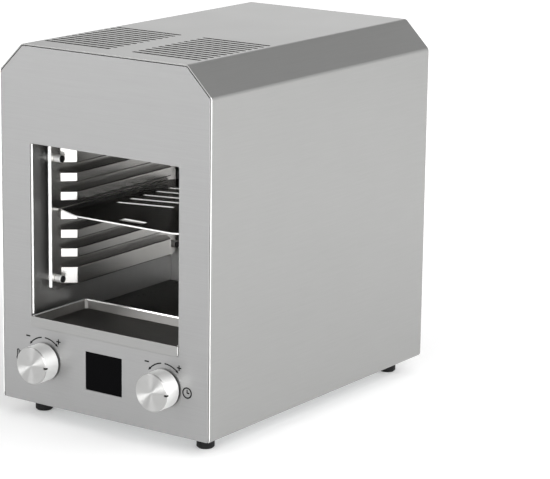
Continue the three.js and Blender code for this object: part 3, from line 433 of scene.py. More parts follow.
def turned_aluminium(name, centre_x, tone, roughness, stretch):
    """Aluminium turned on a lathe: concentric tool lines draw light and dark wedges from the centre
    of a face, and a soft bright band along a barrel."""
    material, tree = begin(name)
    place = add(tree, "ShaderNodeTexCoord").outputs["Object"]
    centred = add(tree, "ShaderNodeMapping", {
        "Vector": place, "Location": (-centre_x * MM, 0, -CONTROL_HEIGHT * MM),
        "Scale": (1, 0, 1)}).outputs[0]
    reach = add(tree, "ShaderNodeVectorMath", {0: centred}, operation="LENGTH").outputs["Value"]
    outward = add(tree, "ShaderNodeVectorMath", {0: centred}, operation="NORMALIZE").outputs[0]
    # The tool leaves a line every 0.12 mm; they are drawn 0.5 mm apart, so that they show
    line_pitch = 0.5 * MM
    rings = add(tree, "ShaderNodeMath", {0: reach, 1: 1 / line_pitch}, operation="MULTIPLY")
    lines = add(tree, "ShaderNodeTexNoise", {"W": rings.outputs[0], "Scale": 1.0, "Detail": 2.0},
                noise_dimensions="1D").outputs["Fac"]
    rough = add(tree, "ShaderNodeMapRange", {
        "Value": lines, "To Min": roughness[0], "To Max": roughness[1]})
    bump = add(tree, "ShaderNodeBump", {"Strength": 0.4, "Distance": 0.012 * MM, "Height": lines})
    # Each line runs round the centre, on the face and on the barrel alike
    round_way = add(tree, "ShaderNodeVectorMath", {0: (0, 1, 0), 1: outward},
                    operation="CROSS_PRODUCT")
    round_way = add(tree, "ShaderNodeVectorTransform", {"Vector": round_way.outputs[0]},
                    vector_type="VECTOR", convert_from="OBJECT", convert_to="WORLD").outputs[0]
    normal = add(tree, "ShaderNodeNewGeometry").outputs["Normal"]
    across = add(tree, "ShaderNodeVectorMath", {0: round_way, 1: normal}, operation="CROSS_PRODUCT")
    aluminium = add(tree, "ShaderNodeBsdfPrincipled", {
        "Base Color": hex_colour(tone), "Metallic": 1.0, "Roughness": rough.outputs["Result"],
        "Anisotropic": stretch, "Tangent": across.outputs[0], "Normal": bump.outputs[0]})
    add(tree, "ShaderNodeOutputMaterial", {"Surface": aluminium.outputs[0]})
    return material


def zinc_plating(name):
    """Bright zinc on mild steel: a cool grey with a soft, slightly uneven gloss."""
    material, tree = begin(name)
    place = add(tree, "ShaderNodeTexCoord").outputs["Object"]
    # The bath leaves patches some 4 mm wide
    cloud = add(tree, "ShaderNodeTexNoise", {
        "Vector": place, "Scale": 1 / (4 * MM), "Detail": 3.0}).outputs["Fac"]
    colour = add(tree, "ShaderNodeMix", {
        0: cloud, 6: hex_colour("#d4d7d8"), 7: hex_colour("#e2e4e4")}, data_type="RGBA")
    rough = add(tree, "ShaderNodeMapRange", {"Value": cloud, "To Min": 0.25, "To Max": 0.4})
    bump = add(tree, "ShaderNodeBump", {"Strength": 0.15, "Distance": 0.02 * MM, "Height": cloud})
    zinc = add(tree, "ShaderNodeBsdfPrincipled", {
        "Base Color": colour.outputs[2], "Metallic": 1.0,
        "Roughness": rough.outputs["Result"], "Normal": bump.outputs[0]})
    add(tree, "ShaderNodeOutputMaterial", {"Surface": zinc.outputs[0]})
    return material


def plain_surface(name, dark, light, grain_mm, roughness, bump_mm, ior=1.5, gloss=0.5):
    """A moulded, pressed or fired surface: two close tones, a fine grain and an even gloss."""
    material, tree = begin(name)
    place = add(tree, "ShaderNodeTexCoord").outputs["Object"]
    grain = add(tree, "ShaderNodeTexNoise", {
        "Vector": place, "Scale": 1 / (grain_mm * MM), "Detail": 3.0,
        "Roughness": 0.6}).outputs["Fac"]
    colour = add(tree, "ShaderNodeMix", {
        0: grain, 6: hex_colour(dark), 7: hex_colour(light)}, data_type="RGBA")
    rough = add(tree, "ShaderNodeMapRange", {
        "Value": grain, "To Min": roughness[0], "To Max": roughness[1]})
    bump = add(tree, "ShaderNodeBump", {
        "Strength": 0.5, "Distance": bump_mm * MM, "Height": grain})
    surface = add(tree, "ShaderNodeBsdfPrincipled", {
        "Base Color": colour.outputs[2], "IOR": ior, "Roughness": rough.outputs["Result"],
        "Specular IOR Level": gloss, "Normal": bump.outputs[0]})
    add(tree, "ShaderNodeOutputMaterial", {"Surface": surface.outputs[0]})
    return material


def floor_paper(name):
    """White studio paper: matte, lit by the lamps, and lifted to white, less near a point beside
    the object as painted shade.
    """
    material, tree = begin(name)
    place = add(tree, "ShaderNodeTexCoord").outputs["Object"]
    # Fibres show as a mottle some 2 mm wide
    fibre = add(tree, "ShaderNodeTexNoise", {
        "Vector": place, "Scale": 1 / (2 * MM), "Detail": 2.0}).outputs["Fac"]
    colour = add(tree, "ShaderNodeMix", {
        0: fibre, 6: hex_colour("#f2f2f2"), 7: hex_colour("#f6f6f6")}, data_type="RGBA")
    paper = add(tree, "ShaderNodeBsdfDiffuse", {"Color": colour.outputs[2]})
    ray = add(tree, "ShaderNodeLightPath")
    seen = ray.outputs["Is Camera Ray"]
    for kind in ("Is Glossy Ray", "Is Transmission Ray"):
        seen = add(tree, "ShaderNodeMath", {0: seen, 1: ray.outputs[kind]},
                   operation="MAXIMUM").outputs[0]
    # Painted shade round a point beside the object: the paper there is lifted less, and is white
    # from two steps away
    reach = add(tree, "ShaderNodeVectorMath", {0: place, 1: FLOOR_PAINTED_SHADE_CENTRE}, operation="DISTANCE")
    level = add(tree, "ShaderNodeMapRange", {
        "Value": reach.outputs["Value"],
        "From Min": FLOOR_LIFT_REACH[0], "From Max": FLOOR_LIFT_REACH[1],
        "To Min": FLOOR_LIFT[0], "To Max": FLOOR_LIFT[1]},
        interpolation_type="SMOOTHSTEP").outputs["Result"]
    strength = add(tree, "ShaderNodeMath", {0: seen, 1: level}, operation="MULTIPLY").outputs[0]
    lift = add(tree, "ShaderNodeEmission", {"Color": hex_colour("#ffffff"), "Strength": strength})
    lifted = add(tree, "ShaderNodeAddShader", {0: paper.outputs[0], 1: lift.outputs[0]})
    add(tree, "ShaderNodeOutputMaterial", {"Surface": lifted.outputs[0]})
    return material


finishes = {
    # Belt-brushed stainless steel: streaks along the sheet's depth on the wrap, level on the front
    "wrap": brushed_steel("belt_brushed_stainless_wrap", "y"),
    "front": brushed_steel("belt_brushed_stainless_front", "x", "#a9a9a9", "#9d9d9d"),
    "tray": brushed_steel("satin_stainless_tray", "x", "#a6a6a5", "#9b9b9a", (0.3, 0.4)),
    # The tray's part inside the cavity is duller and darker than its lip: painted shade
    "pan": heated_steel("painted_shade_stainless_pan", "#8f8e8c", "#82807e", (0.36, 0.46), "#e0e0e0"),
    # Pale steel with a wide soft gloss on edges, hems, folds and nuts: painted highlight
    "edge": heated_steel("painted_highlight_sheet_edge", "#f4f4f3", "#ececea", (0.55, 0.65)),
    # Bright annealed stainless steel: dim, slightly wavy reflections inside the cavity
    "liner": polished_steel("bright_annealed_stainless_liner"),
    # The side walls are a little darker than the rear one
    "wall": polished_steel("bright_annealed_stainless_walls", "#c2c2c1", "#b4b4b3"),
    # Pale polished steel on the tray's rear rim: a painted highlight line
    "rim": heated_steel("painted_highlight_rim", "#f4f4f3", "#ececea", (0.15, 0.25)),
    # Dark brown-grey steel as painted shade: on the ribs' flanks, and darkest on the cavity's floor
    # and ceiling, the heater's reflector and the knobs' notches
    "shaded": polished_steel("painted_shade_stainless_ribs", "#8b8987", "#7f7d7b", (0.3, 0.4)),
    "painted_shade": polished_steel(
        "painted_shade_stainless_liner", "#585755", "#4e4d4b", (0.24, 0.34), "#b4b4b4"),
    # Dark steel on the walls of the vents' slots: painted shade
    "cut": heated_steel("painted_shade_slot_wall", "#353331", "#2b2a28", (0.5, 0.6)),
    # Stainless steel that has been hot: warm and pale on the racks, dark on the plate
    "rack": heated_steel("heat_tinted_stainless_rack", "#f3f2f0", "#ebe9e6"),
    "plate": heated_steel(
        "heat_tinted_stainless_plate", "#666461", "#5a5855", (0.2, 0.3), "#b0b0b0"),
    # Heater sheath, glowed many times: dark brown-grey and nearly matte
    "element": heated_steel("oxidised_heater_sheath", "#5c5751", "#46413c", (0.35, 0.5)),
    # Zinc-plated steel: cool grey fixings
    "zinc": zinc_plating("zinc_plated_steel"),
    # Nitrile rubber: dull black with a fine moulded grain
    "rubber": plain_surface(
        "nitrile_rubber", "#070708", "#0e0e10", 0.8, (0.5, 0.65), 0.03, gloss=0.25),
    # Polished black acrylic: deep black under a clear gloss
    "window": plain_surface(
        "polished_black_acrylic", "#010102", "#020203", 30, (0.04, 0.07), 0.002, 1.49, 0.04),
    # Black ABS: matte moulded plastic
    "plastic": plain_surface("moulded_black_abs", "#161617", "#202022", 0.5, (0.45, 0.6), 0.02),
    # Screen-printed ink: flat dark grey marks
    "ink": plain_surface(
        "screen_printed_ink", "#0d0d0e", "#151516", 0.6, (0.5, 0.6), 0.004, gloss=0.1),
    # Green solder mask over glass-fibre board
    "board": plain_surface("solder_mask_green", "#0f4023", "#17502d", 1.2, (0.25, 0.4), 0.02),
    # Steatite ceramic: chalk white, matte
    "ceramic": plain_surface("steatite_ceramic", "#e3dccd", "#ece6d9", 1.0, (0.7, 0.85), 0.05, 1.6),
    # Mineral wool board: loose fibres, drawn mid-grey rather than pale as painted shade for what
    # shows through the vents
    "wool": plain_surface("mineral_wool_board", "#8b8579", "#a29c8f", 2.5, (0.95, 1.0), 0.6),
    # Woven glass sleeve: off-white threads
    "sleeve": plain_surface("woven_glass_sleeve", "#cfccc2", "#dedbd3", 0.9, (0.75, 0.9), 0.1),
}


# ---- Housing


def painted_highlight_hem(name, side):
    """A pale strip on a side's front edge, a hair proud of it, between the folds: a painted
    highlight.
    """
    inner, outer, proud, depth, short = 1.4, 0.05, 0.2, 6.0, 2.0
    hem = bar((outer - HALF_WIDTH, inner - HALF_WIDTH), (-proud, depth),
              (UNDERSIDE + FOLD_RADIUS, HOUSING_TOP - CHAMFER - short))
    hem = turn_into_piece(mirrored(hem, side), f"painted_highlight_hem_{name}", finishes["edge"], 0.3, 3)
    give(hem, "housing", "brushed_steel")


def folded_wrap():
    """Both sides, chamfers and vented top, folded from one sheet with flanges underneath."""
    ends = HALF_WIDTH - WRAP_FLANGE
    line = [(-ends, UNDERSIDE), (-HALF_WIDTH, UNDERSIDE), *housing_line(0),
            (HALF_WIDTH, UNDERSIDE), (ends, UNDERSIDE)]
    sheet = bmesh.new()
    points = [sheet.verts.new((x, 0, z)) for x, z in line]
    edges = [sheet.edges.new(pair) for pair in zip(points, points[1:])]
    draw_out(sheet, edges, (0, HOUSING_DEPTH, 0))
    for point, (before, at, after) in zip(points[1:-1], zip(line, line[1:], line[2:])):
        into = Vector(at) - Vector(before)
        out = Vector(after) - Vector(at)
        fold = next(e for e in point.link_edges if abs(e.verts[0].co.y - e.verts[1].co.y) > 1)
        round_over(sheet, [fold], FOLD_RADIUS * math.tan(into.angle(out) / 2))
    top = max(sheet.faces, key=lambda face: face.calc_center_median().z)
    top.normal_update()
    if top.normal.z < 0:
        bmesh.ops.reverse_faces(sheet, faces=sheet.faces)
    thicken(sheet, SHEET)
    wrap = turn_into_piece(sheet, "folded_wrap", finishes["wrap"])

    rows = [TOP_VENT_START + row * TOP_VENT_PITCH for row in range(TOP_VENT_ROWS)]
    vent_depth = 8.0
    depth = (HOUSING_TOP - vent_depth, HOUSING_TOP + CUT_PAST)
    vents = [slot_bar(sorted(side * end for end in TOP_VENT_ENDS), y, depth)
             for y in rows for side in SIDES.values()]
    notch = pushed(panel_face(-GAP), PANEL_FLANGE + GAP + CUT_PAST)
    move_by(notch, (0, -CUT_PAST, 0))
    cut_away(wrap, joined(*vents), notch)

    # The sheet's front edges beside the panel get a painted highlight, and the vents' walls painted
    # shade
    wrap.data.materials.append(finishes["edge"])
    wrap.data.materials.append(finishes["cut"])
    edge_reach = (HALF_WIDTH - 4) * MM
    vent_floor, vent_zone = (HOUSING_TOP - 2 * SHEET) * MM, (FRONT_FACE * MM + 0.02, 0.2)
    for face in wrap.data.polygons:
        upright = abs(face.normal.z) < 0.5
        if face.center.z > vent_floor and upright and vent_zone[0] < face.center.y < vent_zone[1]:
            face.material_index = 2
        elif abs(face.normal.y) > 0.9 and abs(face.center.x) > edge_reach:
            face.material_index = 1
    soften(wrap, 0.25, 3)
    for name, side in SIDES.items():
        painted_highlight_hem(name, side)
    give(wrap, "housing", "brushed_steel", "outer_wrap")


def panel_face(extra):
    """The front panel's outline inside the wrap."""
    reach = SHEET + GAP + extra
    bottom = UNDERSIDE + extra
    line = [(reach - HALF_WIDTH, bottom), *housing_line(reach), (HALF_WIDTH - reach, bottom)]
    return outline_face(line, [FOLD_RADIUS - reach] * len(line))


def front_panel():
    """One plate with folded edges and rounded corners, opened for the window, display and knobs."""
    plate = panel_face(PANEL_GAP - GAP)
    move_by(plate, (-PANEL_PLAY, 0, 0))
    rim = [e for e in plate.edges if e.is_boundary]
    draw_out(plate, rim, (0, PANEL_FLANGE, 0))
    round_over(plate, rim, PANEL_EDGE)
    face = max(plate.faces, key=lambda f: f.calc_area())
    bmesh.ops.recalc_face_normals(plate, faces=plate.faces)
    if face.normal.y > 0:
        bmesh.ops.reverse_faces(plate, faces=plate.faces)
    thicken(plate, SHEET)
    panel = turn_into_piece(plate, "front_panel_plate", finishes["front"])
    depth, shaft_hole = (-CUT_PAST, CUT_PAST), 4.2
    window = bar(WINDOW[0], depth, WINDOW[1], "y", WINDOW_CORNER)
    display = bar(DISPLAY[0], depth, DISPLAY[1], "y", DISPLAY_CORNER)
    holes = [round_post(shaft_hole, *depth, (x, CONTROL_HEIGHT)) for x in KNOB_PLACES.values()]
    cut_away(panel, window, display, *holes)
    soften(panel, 0.4, 3)
    give(panel, "housing", "brushed_steel", "front_panel")


def window_return_painted_highlight(name, side):
    """A narrow pale fold behind the window's upright edge, slanted as a lead-in: a painted
    highlight.
    """
    (edge, _), (sill, head) = WINDOW
    # It starts above the tray's lip and ends just under the window's upper edge
    strip = bar((-1.2, 1.2), (-0.3, 0.3), (sill + 12, head - 1))
    swing(strip, LEAD_ANGLE, "Z")
    move_by(strip, (edge - 0.3, 2.9, 0))
    fold = turn_into_piece(mirrored(strip, side), f"window_return_painted_highlight_{name}", finishes["edge"], 0.15)
    give(fold, "housing", "brushed_steel")


def rear_panel():
    """A flat plate with two banks of vents, the cable inlet's hole and screw holes."""
    reach = SHEET + GAP
    line = [(reach - HALF_WIDTH, REAR_FOOT), *housing_line(reach), (HALF_WIDTH - reach, REAR_FOOT)]
    plate = pushed(outline_face(line, [FOLD_RADIUS - reach] * len(line)), SHEET)
    move_by(plate, (0, REAR_FACE - SHEET, 0))
    panel = turn_into_piece(plate, "rear_panel_plate", finishes["front"])
    depth = (REAR_FACE - CUT_PAST, REAR_FACE + CUT_PAST)
    rows = [REAR_VENT_START + row * REAR_VENT_PITCH for row in range(REAR_VENT_ROWS)]
    vents = [slot_bar(sorted(side * end for end in REAR_VENT_ENDS), z, depth, along="y")
             for z in rows for side in SIDES.values()]
    inlet_hole, screw_hole = 8.8, 2.2
    screws = [(side * SCREW_SIDE, z) for side in SIDES.values() for z in SCREW_HEIGHTS.values()]
    inlet = round_post(inlet_hole, *depth, INLET_PLACE)
    holes = [round_post(screw_hole, *depth, place) for place in screws]
    cut_away(panel, joined(*vents), inlet, *holes)
    soften(panel, 0.25)
    give(panel, "housing", "brushed_steel", "rear_panel")


def rubber_foot(name, place):
    """A turned rubber foot with a bevelled sole and a shallow groove round its collar."""
    shape = turned([
        (0, 0.6), (3, 0.6), (3.4, 0), (7.7, 0), (9.3, 1.6), (9.3, 11.6), (8.9, 12.0), (8.9, 12.6),
        (9.3, 13.0), (9.3, 17.7), (2.6, 17.7), (2.6, 8.7), (0, 8.7)], place, "z")
    foot = turn_into_piece(shape, "rubber_" + name, finishes["rubber"], 0.4, 3)
    give(foot, "housing", "rubber", name)


def panel_screw(name, place):
    """A pan head screw with a cross recess."""
    x, z = place
    seat, tip = REAR_FACE + GAP, REAR_FACE - 9
    shape = turned([
        (0, tip), (1.9, tip), (1.9, seat), (4.0, seat), (4.0, seat + 0.7), (3.6, seat + 1.4),
        (2.6, seat + 1.85), (1.4, seat + 2.0), (0, seat + 2.0)], place, "y", SMALL_TURN_STEPS)
    screw = turn_into_piece(shape, "panel_" + name, finishes["zinc"])
    depth, arm, half_wide = (seat + 0.7, seat + 4), 2.1, 0.45
    cut_away(screw, bar((x - arm, x + arm), depth, (z - half_wide, z + half_wide)),
             bar((x - half_wide, x + half_wide), depth, (z - arm, z + arm)))
    soften(screw, 0.12)
    give(screw, "housing", "zinc_plated", name)


def cable_bushing():
    """The open bushing that the supply cable passes through, ribbed round its flange."""
    flange, inner_end, bore = REAR_FACE + GAP, 375.5, 4.2
    shape = turned([
        (bore, inner_end), (8.5, inner_end), (8.5, flange), (12, flange), (12, flange + 2.2),
        (10.2, flange + 4.0), (5.2, flange + 4.0), (bore, flange + 3.0), (bore, inner_end)],
        INLET_PLACE)
    bushing = turn_into_piece(shape, "cable_bushing", finishes["plastic"])
    grooves, count = [], 24
    for step in range(count):
        groove = bar((11.5, 13), (flange + 0.4, flange + CUT_PAST), (-0.35, 0.35))
        swing(groove, math.tau * step / count, "Y")
        move_by(groove, (INLET_PLACE[0], 0, INLET_PLACE[1]))
        grooves.append(groove)
    cut_away(bushing, joined(*grooves))
    soften(bushing, 0.2)
    give(bushing, "housing", "black_plastic", "cable_inlet")


folded_wrap()
front_panel()
for name, side in SIDES.items():
    window_return_painted_highlight(name, side)
rear_panel()
for end, y in FOOT_DEPTHS.items():
    for name, side in SIDES.items():
        rubber_foot(f"foot_{end}_{name}", (side * FOOT_SIDE, y))
for height, z in SCREW_HEIGHTS.items():
    for name, side in SIDES.items():
        panel_screw(f"rear_screw_{height}_{name}", (side * SCREW_SIDE, z))
cable_bushing()


# ---- Cavity


def rack_rib(low, high):
    """One hollow rib, bevelled at both ends, with pressed round edges."""
    root, crest, bevel = -96.2, -82.8, 11.2
    rib = bar((root, crest), (49.3, 233.2), (low, high))
    for vert in rib.verts:
        if vert.co.x > -90:
            vert.co.y += bevel if vert.co.y < 100 else -bevel
    back = [f for f in rib.faces if f.calc_center_median().x < root + 0.2]
    bmesh.ops.delete(rib, geom=back, context="FACES")
    crisp = [e for e in rib.edges if not e.is_boundary]
    round_over(rib, crisp, 1.5, 4, clamp=True)
    bmesh.ops.recalc_face_normals(rib, faces=rib.faces)
    face = max(rib.faces, key=lambda f: f.calc_center_median().x)
    if face.normal.x < 0:
        bmesh.ops.reverse_faces(rib, faces=rib.faces)
    thicken(rib, SHEET)
    return rib


def level_rack(name, side):
    """A pressed sheet with seven ribs that carry the grill plate at six levels."""
    outer, inner, stud_hole = -97.4, -96.2, 2.9
    sheet = bar((outer, inner), (34.3, 247.0), (130.0, 289.0), "x", 6.0)
    plate = turn_into_piece(mirrored(sheet, side), "rack_sheet", finishes["rack"])
    middle = side * 96.8
    holes = [round_post(stud_hole, middle - CUT_PAST, middle + CUT_PAST, place, "x")
             for place in STUD_PLACES.values()]
    cut_away(plate, *holes)
    ribs = joined(*[mirrored(rack_rib(*heights), side) for heights in RIB_RANGES])
    ribs = turn_into_piece(ribs, "ribs", finishes["rack"])
    whole = bmesh.new()
    whole.from_mesh(plate.data)
    whole.from_mesh(ribs.data)
    whole.to_mesh(plate.data)
    whole.free()
    bpy.data.objects.remove(ribs)
    plate.name = f"pressed_rack_{name}"
    # Painted shade on every face that faces up or down
    plate.data.materials.append(finishes["shaded"])
    for face in plate.data.polygons:
        if abs(face.normal.z) > 0.5:
            face.material_index = 1
    soften(plate, 0.3)
    # A pale strip on the rack's front edge: a painted highlight
    flange = bar((-1.7, 1.7), (-0.5, 0.5), (133.5, 285.5), "y", 1.6)
    swing(flange, LEAD_ANGLE, "Z")
    move_by(flange, (-97.7, 33.6, 0))
    flange = turn_into_piece(mirrored(flange, side), f"rack_flange_painted_highlight_{name}", finishes["edge"], 0.2)
    give(flange, "housing", "heated_steel")
    give(plate, "housing", "heated_steel", f"rack_{name}")


def rack_stud(name, side, end, place):
    """A spacer collar behind the rack and a shouldered cap nut in front of it."""
    wall, cap = 105.0, 16.5
    profile = [
        (0, 0.3), (4.6, 0.3), (4.6, 7.3), (2.6, 7.3), (2.6, 9.1), (4.0, 9.1), (4.0, 16.2),
        (3.6, 16.6), (3.6, 18.1), (2.5, 18.1), (2.5, 16.9), (0, 16.9)]
    profile = [(radius, side * (wall - height)) for radius, height in profile]
    shape = turned(profile, place, "x", SMALL_TURN_STEPS)
    stud = turn_into_piece(shape, f"cap_nut_{name}_{end}", finishes["edge"], 0.25, 3)
    # The nut's pale steel is a painted highlight; its tip, facing the cavity, is black as a painted
    # dark reflection
    stud.data.materials.append(finishes["plastic"])
    for face in stud.data.polygons:
        if abs(face.center.x) < (wall - cap) * MM:
            face.material_index = 1
    give(stud, "housing", "zinc_plated", f"rack_stud_{name}_{end}")


for name, side in SIDES.items():
    level_rack(name, side)
    for end, place in STUD_PLACES.items():
        rack_stud(name, side, end, place)


# ---- Drip tray and grill plate


def drip_tray():
    """A shallow pan with sloped walls and folded rear corners, and a lip over the window's edge."""
    sheet, lip_sheet, lip_out = 1.0, 1.5, 1.8
    floor_z, rim_z, lip_foot, lip_side = 101.0, 111.0, 99.8, 95.7
    floor_side, floor_front, floor_rear = 90.9, -0.3, 83.6
    rim_side, rim_rear = 94.3, 87.0
    low = [(-floor_side, floor_front), (floor_side, floor_front),
           (floor_side, floor_rear), (-floor_side, floor_rear)]
    pan = bmesh.new()
    pan.faces.new([pan.verts.new((x, y, floor_z)) for x, y in low])
    walls = [e for e in pan.edges if max(v.co.y for v in e.verts) > 0]
    for vert in draw_out(pan, walls, (0, 0, rim_z - floor_z)):
        vert.co.x = math.copysign(rim_side, vert.co.x)
        if vert.co.y > 0:
            vert.co.y = rim_rear
    rear = [v for v in pan.verts if v.co.y > rim_rear - 1]
    posts = [e for e in pan.edges if e.verts[0] in rear or e.verts[1] in rear]
    posts = [e for e in posts if abs(e.verts[0].co.z - e.verts[1].co.z) > (rim_z - floor_z) / 2]
    # The corner fold opens towards the rim, so only its upper end is cut across
    round_over(pan, posts, 3.0, 1, clamp=True)
    foot = [e for e in pan.edges
            if all(abs(v.co.z - floor_z) < 0.01 for v in e.verts) and not e.is_boundary]
    round_over(pan, foot, 1.2, 3, clamp=True)
    bmesh.ops.recalc_face_normals(pan, faces=pan.faces)
    floor = max(pan.faces, key=lambda f: f.calc_area())
    if floor.normal.z > 0:
        bmesh.ops.reverse_faces(pan, faces=pan.faces)
    thicken(pan, sheet)
    lip = outline_face([(-lip_side, lip_foot), (lip_side, lip_foot), (lip_side, rim_z),
                        (-lip_side, rim_z)], [3.5, 3.5, 0, 0])
    lip = pushed(lip, lip_sheet)
    move_by(lip, (0, -lip_out, 0))
    tray = turn_into_piece(joined(pan, lip), "folded_drip_tray", finishes["tray"], 0.45, 3)
    tray.data.materials.append(finishes["pan"])
    tray.data.materials.append(finishes["edge"])
    # Painted shade on what lies behind the panel's face, and a painted highlight on the lip's ends
    for face in tray.data.polygons:
        face.material_index = int(face.center.y > FRONT_FACE * MM)
        if face.center.y < FRONT_FACE * MM and abs(face.normal.x) > 0.9:
            face.material_index = 2
    bead = turn_into_piece(tray_bead(), "drip_tray_bead", finishes["edge"], 0.75, 4)
    give(bead, "drip_tray", "brushed_steel")
    rear_rim = turn_into_piece(tray_rear_rim(), "drip_tray_rear_rim", finishes["rim"], 0.15)
    give(rear_rim, "drip_tray", "brushed_steel")
    give(tray, "drip_tray", "brushed_steel", "drip_tray")


def tray_bead():
    """The rolled bead round three sides of the pan's rim, in pale steel as a painted highlight."""
    low, high, side, rear, corner, width = 110.1, 111.7, 94.6, 87.3, 3, 1.6
    half = [(side - corner, rear), (side, rear - corner), (side, 0.3)]
    line = [(-x, y) for x, y in reversed(half)] + half
    shape = bmesh.new()
    points = [shape.verts.new((x, y, low)) for x, y in line]
    edges = [shape.edges.new(pair) for pair in zip(points, points[1:])]
    draw_out(shape, edges, (0, 0, high - low))
    bmesh.ops.recalc_face_normals(shape, faces=shape.faces)
    thicken(shape, width)
    return shape


def tray_rear_rim():
    """The rear wall's rim, turned up a little, in pale polished steel: a painted highlight line."""
    shape = bar((-90.5, 90.5), (-0.35, 0.35), (-0.9, 0.9))
    swing(shape, math.radians(-20), "X")
    move_by(shape, (0, 85.3, 111.2))
    return shape


def grill_plate():
    """A flat sheet with slanted slots in two mirrored banks and a slot for its lifting handle."""
    half, front, rear, front_half, rear_half = 94.5, 32.5, 243.0, 62.0, 87.5
    under, sheet, cut = 214.65, 1.5, (209, 221)
    line = [(-front_half, front), (front_half, front), (half, 47.0), (half, 236.0),
            (rear_half, rear), (-rear_half, rear), (-half, 236.0), (-half, 47.0)]
    shape = bmesh.new()
    shape.faces.new([shape.verts.new((x, y, under)) for x, y in line])
    plate = turn_into_piece(pushed(shape, sheet, "z"), "slotted_grill_plate", finishes["plate"])

    rows, outer_end, inner_end, rise, margin, width = 5, 67.0, 8.5, 15.7, 27.6, 5.0
    first = front + (rear - front) * 0.365
    pitch = (rear - margin - rise - first) / (rows - 1)
    slots = []
    for row in range(rows):
        for side in SIDES.values():
            start = Vector((outer_end, first + row * pitch))
            stop = Vector((inner_end, first + row * pitch + rise))
            run = stop - start
            reach = run.length / 2 + width / 2
            slot = slot_bar((-reach, reach), 0, cut, width)
            swing(slot, math.atan2(run.y, run.x), "Z")
            move_by(slot, (*((start + stop) / 2), 0))
            slots.append(mirrored(slot, -side))
    handle = bar((-14.7, 14.7), (44.0, 53.6), cut, "z", 1.5)
    cut_away(plate, joined(*slots), handle)
    # The plate's edges and slot walls are pale: painted highlight
    plate.data.materials.append(finishes["edge"])
    for face in plate.data.polygons:
        if abs(face.normal.z) < 0.3:
            face.material_index = 1
    soften(plate, 0.15)
    give(plate, "grill_plate", "heated_steel", "grill_plate")


drip_tray()
grill_plate()


# ---- Controls


def control_knob(name, x):
    """A turned cup with a flat face, a fine chamfer and a notch that marks where it points."""
    front, base, radius = -22.0, -1.6, 19.8
    hollow, hub, bore, hollow_end, hub_foot, bore_end = 14.0, 6.0, 3.3, -9.0, -6.4, -17.4
    shape = turned([
        (0, front), (radius - 0.9, front), (radius, front + 0.9), (radius, base - 0.5),
        (radius - 0.5, base), (hollow, base), (hollow, hollow_end), (hub, hollow_end),
        (hub, hub_foot), (bore, hub_foot), (bore, bore_end), (0, bore_end)], (x, CONTROL_HEIGHT))
    # The barrel is finished finer than the face and scatters more evenly
    barrel = turned_aluminium(f"turned_aluminium_barrel_{name}", x, "#f2f2f1", (0.56, 0.64), 0.6)
    knob = turn_into_piece(shape, f"{name}_turned_knob", barrel)
    notch_length, notch_half = 3.0, 0.9
    notch = bar((x + radius - notch_length, x + radius + CUT_PAST),
                (front - CUT_PAST, front + notch_length),
                (CONTROL_HEIGHT - notch_half, CONTROL_HEIGHT + notch_half))
    cut_away(knob, notch)
    # The face is drawn darker than the barrel: painted shade
    knob.data.materials.append(
        turned_aluminium(f"painted_shade_faced_aluminium_{name}", x, "#bebebd", (0.34, 0.44), 0.95))
    knob.data.materials.append(finishes["painted_shade"])
    for face in knob.data.polygons:
        depth = face.center.y / MM - FRONT_FACE - front
        if depth < 0.6:
            face.material_index = 1
        # The notch's faces get painted shade
        elif face.center.x > (x + 12) * MM and depth < notch_length + 0.2:
            face.material_index = 2
    soften(knob, 0.3, 3)
    give(knob, f"{name}_knob", "turned_aluminium", f"{name}_knob")


def display_pane():
    """A black pane, flush in its opening, with a flange behind the panel."""
    (x0, x1), (z0, z1) = DISPLAY
    reach, face_y, back_y, rise = 2.4, 1.5, 2.9, 1.3
    pane = bar((x0 - reach, x1 + reach), (face_y, back_y), (z0 - reach, z1 + reach))
    front = [f for f in pane.faces if f.calc_center_median().y < face_y + 0.1]
    bmesh.ops.inset_region(pane, faces=front, thickness=reach + GAP, use_even_offset=True)
    made = bmesh.ops.extrude_face_region(pane, geom=front)
    bmesh.ops.translate(pane, vec=(0, -rise, 0), verts=verts_in(made["geom"]))
    bmesh.ops.delete(pane, geom=front, context="FACES_ONLY")
    bmesh.ops.recalc_face_normals(pane, faces=pane.faces)
    pane = turn_into_piece(pane, "display_pane", finishes["window"], 0.25, 3)
    give(pane, "housing", "black_glass", "display_window")


def ink(shape, name):
    """Printed marks, laid on the panel's face."""
    give(turn_into_piece(shape, name, finishes["ink"]), "housing", "black_plastic")


# Printed marks reach from just before the panel's face to just inside it
INK_Y = (-0.05, 0.02)


def stroke(x, z, length, width, angle=0.0):
    """A short straight stroke centred on a point."""
    shape = bar((-length / 2, length / 2), INK_Y, (-width / 2, width / 2))
    swing(shape, -angle, "Y")
    move_by(shape, (x, 0, z))
    return shape


def arc(x, z, radius, start, stop, width, steps=20):
    """A thin band along an arc, with its angles from the +x side."""
    shape = bmesh.new()
    inner, outer = radius - width / 2, radius + width / 2
    near, far = INK_Y
    corners = [shape.verts.new((r, y, 0))
               for r, y in ((inner, near), (outer, near), (outer, far), (inner, far))]
    face = shape.faces.new(corners)
    sweep = stop - start
    swing(shape, -start, "Y")
    full = abs(abs(sweep) - math.tau) < 1e-6
    bmesh.ops.spin(shape, geom=[face] + face.edges[:] + corners, cent=(0, 0, 0), axis=(0, 1, 0),
                   angle=-sweep, steps=steps, use_merge=full)
    if full:
        bmesh.ops.delete(shape, geom=[face], context="FACES_ONLY")
    bmesh.ops.remove_doubles(shape, verts=shape.verts, dist=MERGE_DISTANCE)
    move_by(shape, (x, 0, z))
    bmesh.ops.recalc_face_normals(shape, faces=shape.faces)
    return shape


